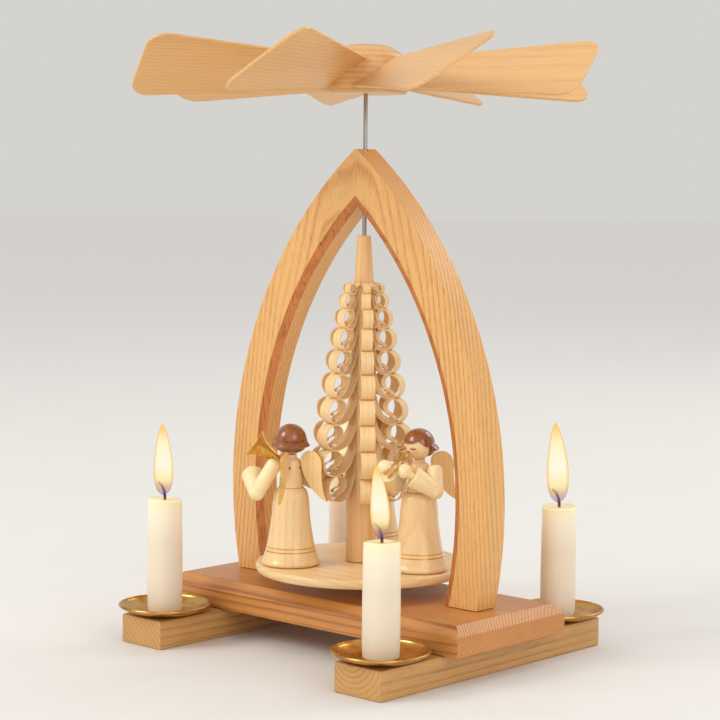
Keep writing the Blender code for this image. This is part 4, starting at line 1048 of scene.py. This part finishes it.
for index, angel in enumerate(angels):
    for side, sign in sides:
        heading = sign * (pi - WING_SPREAD)
        leaf = copy_of(wing, "%s_%s_wing_leaf" % (angel, side))
        keep_making_place(leaf, (0.03 * sign, 0.0, 0.011 * index))
        for face in leaf.data.polygons:
            face.material_index = 0 if abs(face.normal.z) > 0.9 else 1
        root = (WING_ROOT * cos(heading), WING_ROOT * sin(heading), WING_TOPS[angel])
        place = stands[angel] @ Matrix.LocRotScale(root, Euler((pi / 2, 0.0, heading)), None)
        set_in(leaf, place, wing_wood, "spindle", "lime_wood", "%s_%s_wing" % (angel, side))
        leaf.data.materials.append(gilt)
discard(wing)

# Angels' arms: each sleeve is two turned limewood pegs, cut on the slant and glued to a bent arm.
# It widens to a flat-cut cuff with a ball hand in it, and is painted cream.
SLEEVE_RADIUS = 0.0031
SLEEVE_TOP = ((0.0007, 1.0), (0.0016, 0.90), (0.0022, 0.70), (0.0025, 0.40))
CUFF_RADIUS = 0.0046
CUFF_EASE = 0.0002
ELBOW_EASE = 0.0001
WRIST_RADIUS = 0.0015
WRIST_SINK = 0.0010
HAND_RADIUS = 0.0030
HAND_FLATTENED = 0.10
HAND_SHOWS = 0.0040
RAISED_HAND_SHOWS = 0.0010
SHOULDER = (0.0079, 0.0404)
ELBOW = Vector((0.0024, 0.0104, 0.0331))
RAISED_ELBOW = Vector((0.0036, 0.0136, 0.0292))
RAISED_HAND = Vector((0.0139, 0.0113, 0.0359))
MOUTH = Vector((0.0059, 0.0, 0.0478))
PIPE_LENGTH = 0.0165
PIPE_DIP = radians(28.0)
PIPE_GRIPS = {"left": 0.52, "right": 0.76}
PIPE_HOLDS = {"left": Vector((-0.36, 0.64, -0.68)), "right": Vector((0.12, -0.96, 0.23))}
PIPE_GRASP = 0.0037
HORN_THROAT = Vector((0.0080, 0.0019, 0.0412))
HORN_AIM = Vector((0.36, 0.72, 0.58)).normalized()
HORN_HOLD = Vector((0.75, -0.50, -0.43)).normalized() * 0.0041
cream, shader = finish("cream_paint", {"Coat Weight": 0.2})
creams = [(0.25, (242, 216, 162)), (0.50, (248, 226, 176)), (0.78, (250, 232, 188))]
vary(shader, noise(place_of(shader, True), 300.0, 3.0), creams, (0.34, 0.50), (0.06, 0.0001))


def ball(middle, radius):
    """A small turned ball."""
    start_fresh()
    bpy.ops.mesh.primitive_uv_sphere_add(segments=32, ring_count=20, radius=radius, location=middle)
    bpy.ops.object.transform_apply()
    bpy.ops.object.shade_smooth()
    return bpy.context.object


def arm(angel, side, sign, elbow, hand, shows):
    """A bent sleeve from shoulder to cuff, with a wrist and a ball hand in it."""
    shoulder_at = Vector((0.0, sign * SHOULDER[0], SHOULDER[1]))
    bend = Vector((elbow.x, sign * elbow.y, elbow.z))
    back = (bend - hand).normalized()
    cuff = hand + back * shows
    rise = (shoulder_at - bend).normalized()
    places = [bend] + [shoulder_at + rise * up for up, share in SLEEVE_TOP]
    radii = [SLEEVE_RADIUS] + [SLEEVE_RADIUS * share for up, share in SLEEVE_TOP]
    sleeve = tube("%s_%s_arm_sleeve" % (angel, side), places, radii, True, 10, 2)
    places = [bend, cuff + back * CUFF_EASE, cuff]
    lower = tube("forearm", places, [SLEEVE_RADIUS, CUFF_RADIUS, CUFF_RADIUS - CUFF_EASE], True, 10, 2)
    wrist = tube("wrist", [cuff + back * WRIST_SINK, hand], [WRIST_RADIUS, WRIST_RADIUS], True, smoothness=1)
    fist = ball(hand, HAND_RADIUS)
    for vert in fist.data.vertices:
        off = vert.co - hand
        vert.co = hand + off * (1.0 - HAND_FLATTENED * max(0.0, off.normalized().dot(back)))
    join_into(sleeve, [lower, wrist, fist, ball(bend, SLEEVE_RADIUS + ELBOW_EASE)])
    set_in(sleeve, stands[angel], cream, "spindle", "sleeve_cream", "%s_%s_arm" % (angel, side))


pipe_along = Vector((cos(PIPE_DIP), 0.0, -sin(PIPE_DIP)))
for angel in ("flute_angel", "piper_angel"):
    for side, sign in sides:
        hold = MOUTH + pipe_along * PIPE_GRIPS[side] * PIPE_LENGTH + PIPE_HOLDS[side].normalized() * PIPE_GRASP
        arm(angel, side, sign, ELBOW, hold, HAND_SHOWS)
arm("horn_angel", "left", 1, RAISED_ELBOW, RAISED_HAND, RAISED_HAND_SHOWS)
arm("horn_angel", "right", -1, ELBOW, HORN_THROAT + HORN_HOLD, HAND_SHOWS)

# Instruments: a pair of slim gilt pipes for two of the angels and a curved gilt horn for the third.
# They are turned from brass wire and glued at the lips and in the hands.
PIPE_SHAPE = ((0.0, 0.00034), (0.03, 0.00042), (0.10, 0.00042), (0.90, 0.00045), (0.98, 0.00062), (1.0, 0.00066))
HORN_BELL = (
    (0.0, 0.0050), (0.0020, 0.0060), (0.0030, 0.0088), (0.0043, 0.0111), (0.0057, 0.0124), (0.0061, 0.0126),
    (0.0060, 0.0121), (0.0048, 0.0111), (0.0035, 0.0088), (0.0026, 0.0056), (0.0019, 0.0015),
    (0.0015, 0.0, True), (0.0, 0.0, True))
PIPE_GAP = Vector((0.0, 0.0010, -0.0004))
PIPE_SHIFT = Vector((0.0, -0.0006, 0.0))
PIPE_SPLAY = (0.048, 0.025)
HORN_LIPS = Vector((0.0060, 0.0, 0.0478))
HORN_BOW = Vector((0.0094, -0.0018, (HORN_LIPS.z + HORN_THROAT.z) / 2))
HORN_SOCKET = 0.0015
CROOK_RADII = (0.0009, 0.0010, 0.0011, 0.0012, 0.0013, 0.0014, 0.0014)
for angel in ("flute_angel", "piper_angel"):
    pair = []
    for sign in (-1, 1):
        start = MOUTH + PIPE_SHIFT + sign * PIPE_GAP
        away = (pipe_along + Vector((0.0, PIPE_SPLAY[0], -sign * PIPE_SPLAY[1]))).normalized()
        places = [start + away * PIPE_LENGTH * share for share, radius in PIPE_SHAPE]
        pair.append(tube("pipe_half", places, [radius for share, radius in PIPE_SHAPE], True, 5, 1))
    join_into(pair[0], pair[1:])
    set_in(named(angel + "_pipe_pair"), stands[angel], gilt, "spindle", "instrument_gold", angel + "_pipe")
horn = turned("horn_angel_horn_bell", HORN_BELL, steps=56)
horn.data.transform(Matrix.LocRotScale(HORN_THROAT, HORN_AIM.to_track_quat("Z", "Y"), None))
shares = (0.0, 0.2, 0.4, 0.6, 0.8, 1.0)
bend = [HORN_LIPS * (1 - s) ** 2 + HORN_BOW * 2 * s * (1 - s) + HORN_THROAT * s ** 2 for s in shares]
join_into(horn, [tube("horn_crook", bend + [HORN_THROAT + HORN_AIM * HORN_SOCKET], CROOK_RADII)])
set_in(horn, stands["horn_angel"], gilt, "spindle", "instrument_gold", "horn_angel_horn")

# Floor and studio: a plain pale floor that keeps the shadow, under an even pale sky and three soft lamps.
# The camera stands a little above the plate, in front of the right-hand front candle.
FLOOR_RADIUS = 9.0
SKY_LIGHT = (1.0, 0.985, 0.96, 1.0)
SKY_SEEN = (0.665, 0.65, 0.62, 1.0)
LAMPS = (("key_light", (-0.55, -1.15, 0.95), 0.10, 0.7, 8.0, (1.0, 0.97, 0.92)),
         ("fill_light", (1.35, -0.45, 0.65), 0.10, 0.9, 4.0, (1.0, 0.98, 0.95)),
         ("back_light", (0.25, 1.20, 1.05), 0.12, 0.7, 4.0, (1.0, 0.98, 0.95)))
VIEW_TURN = radians(42.62)
VIEW_PLACE = (0.846 * sin(VIEW_TURN), -0.846 * cos(VIEW_TURN), 0.192)
VIEW_YAW = VIEW_TURN + radians(0.09)
VIEW_PITCH = radians(-5.02)
VIEW_ROLL = radians(0.53)
VIEW_LENS = 2077.0 / 720.0
start_fresh()
bpy.ops.mesh.primitive_circle_add(vertices=96, radius=FLOOR_RADIUS, fill_type="NGON")
floor = bpy.context.object
floor.name = "studio_floor"
floor_paint, shader = finish("pale_floor", {"Roughness": 0.7, "Specular IOR Level": 0.1})
greys = [(0.3, (0.775, 0.765, 0.745, 1.0)), (0.7, (0.785, 0.775, 0.755, 1.0))]
vary(shader, noise(place_of(shader), 30.0, 2.0), greys)
floor.data.materials.append(floor_paint)

scene = bpy.context.scene
world = bpy.data.worlds.new("studio_world")
scene.world = world
world.use_nodes = True
backdrop = world.node_tree.nodes["Background"]
feed(backdrop, {"Color": SKY_LIGHT, "Strength": 0.84})
shown = node(backdrop, "Background", {"Color": SKY_SEEN, "Strength": 1.0})
path = node(backdrop, "LightPath", {})
seen = largest([path["Is Camera Ray"], path["Is Glossy Ray"], path["Is Transmission Ray"]])
sky = node(backdrop, "MixShader", {0: seen, 1: backdrop.outputs[0], 2: shown[0]})
feed(world.node_tree.nodes["World Output"], {"Surface": sky[0]})
for name, place, aim, size, power, colour in LAMPS:
    light = bpy.data.lights.new(name, "AREA")
    light.shape = "DISK"
    light.size = size
    light.energy = power
    light.color = colour
    lamp = bpy.data.objects.new(name, light)
    lamp.location = place
    lamp.rotation_euler = (Vector((0.0, 0.0, aim)) - Vector(place)).to_track_quat("-Z", "Y").to_euler()
    scene.collection.objects.link(lamp)

lens = bpy.data.cameras.new("photo_view")
lens.sensor_width = 36.0
lens.lens = 36.0 * VIEW_LENS
camera = bpy.data.objects.new("photo_view", lens)
camera.matrix_world = (Matrix.Translation(VIEW_PLACE) @ Matrix.Rotation(VIEW_YAW, 4, "Z")
                       @ Matrix.Rotation(pi / 2 + VIEW_PITCH, 4, "X") @ Matrix.Rotation(VIEW_ROLL, 4, "Z"))
scene.collection.objects.link(camera)
scene.camera = camera
scene.view_settings.view_transform = "Standard"
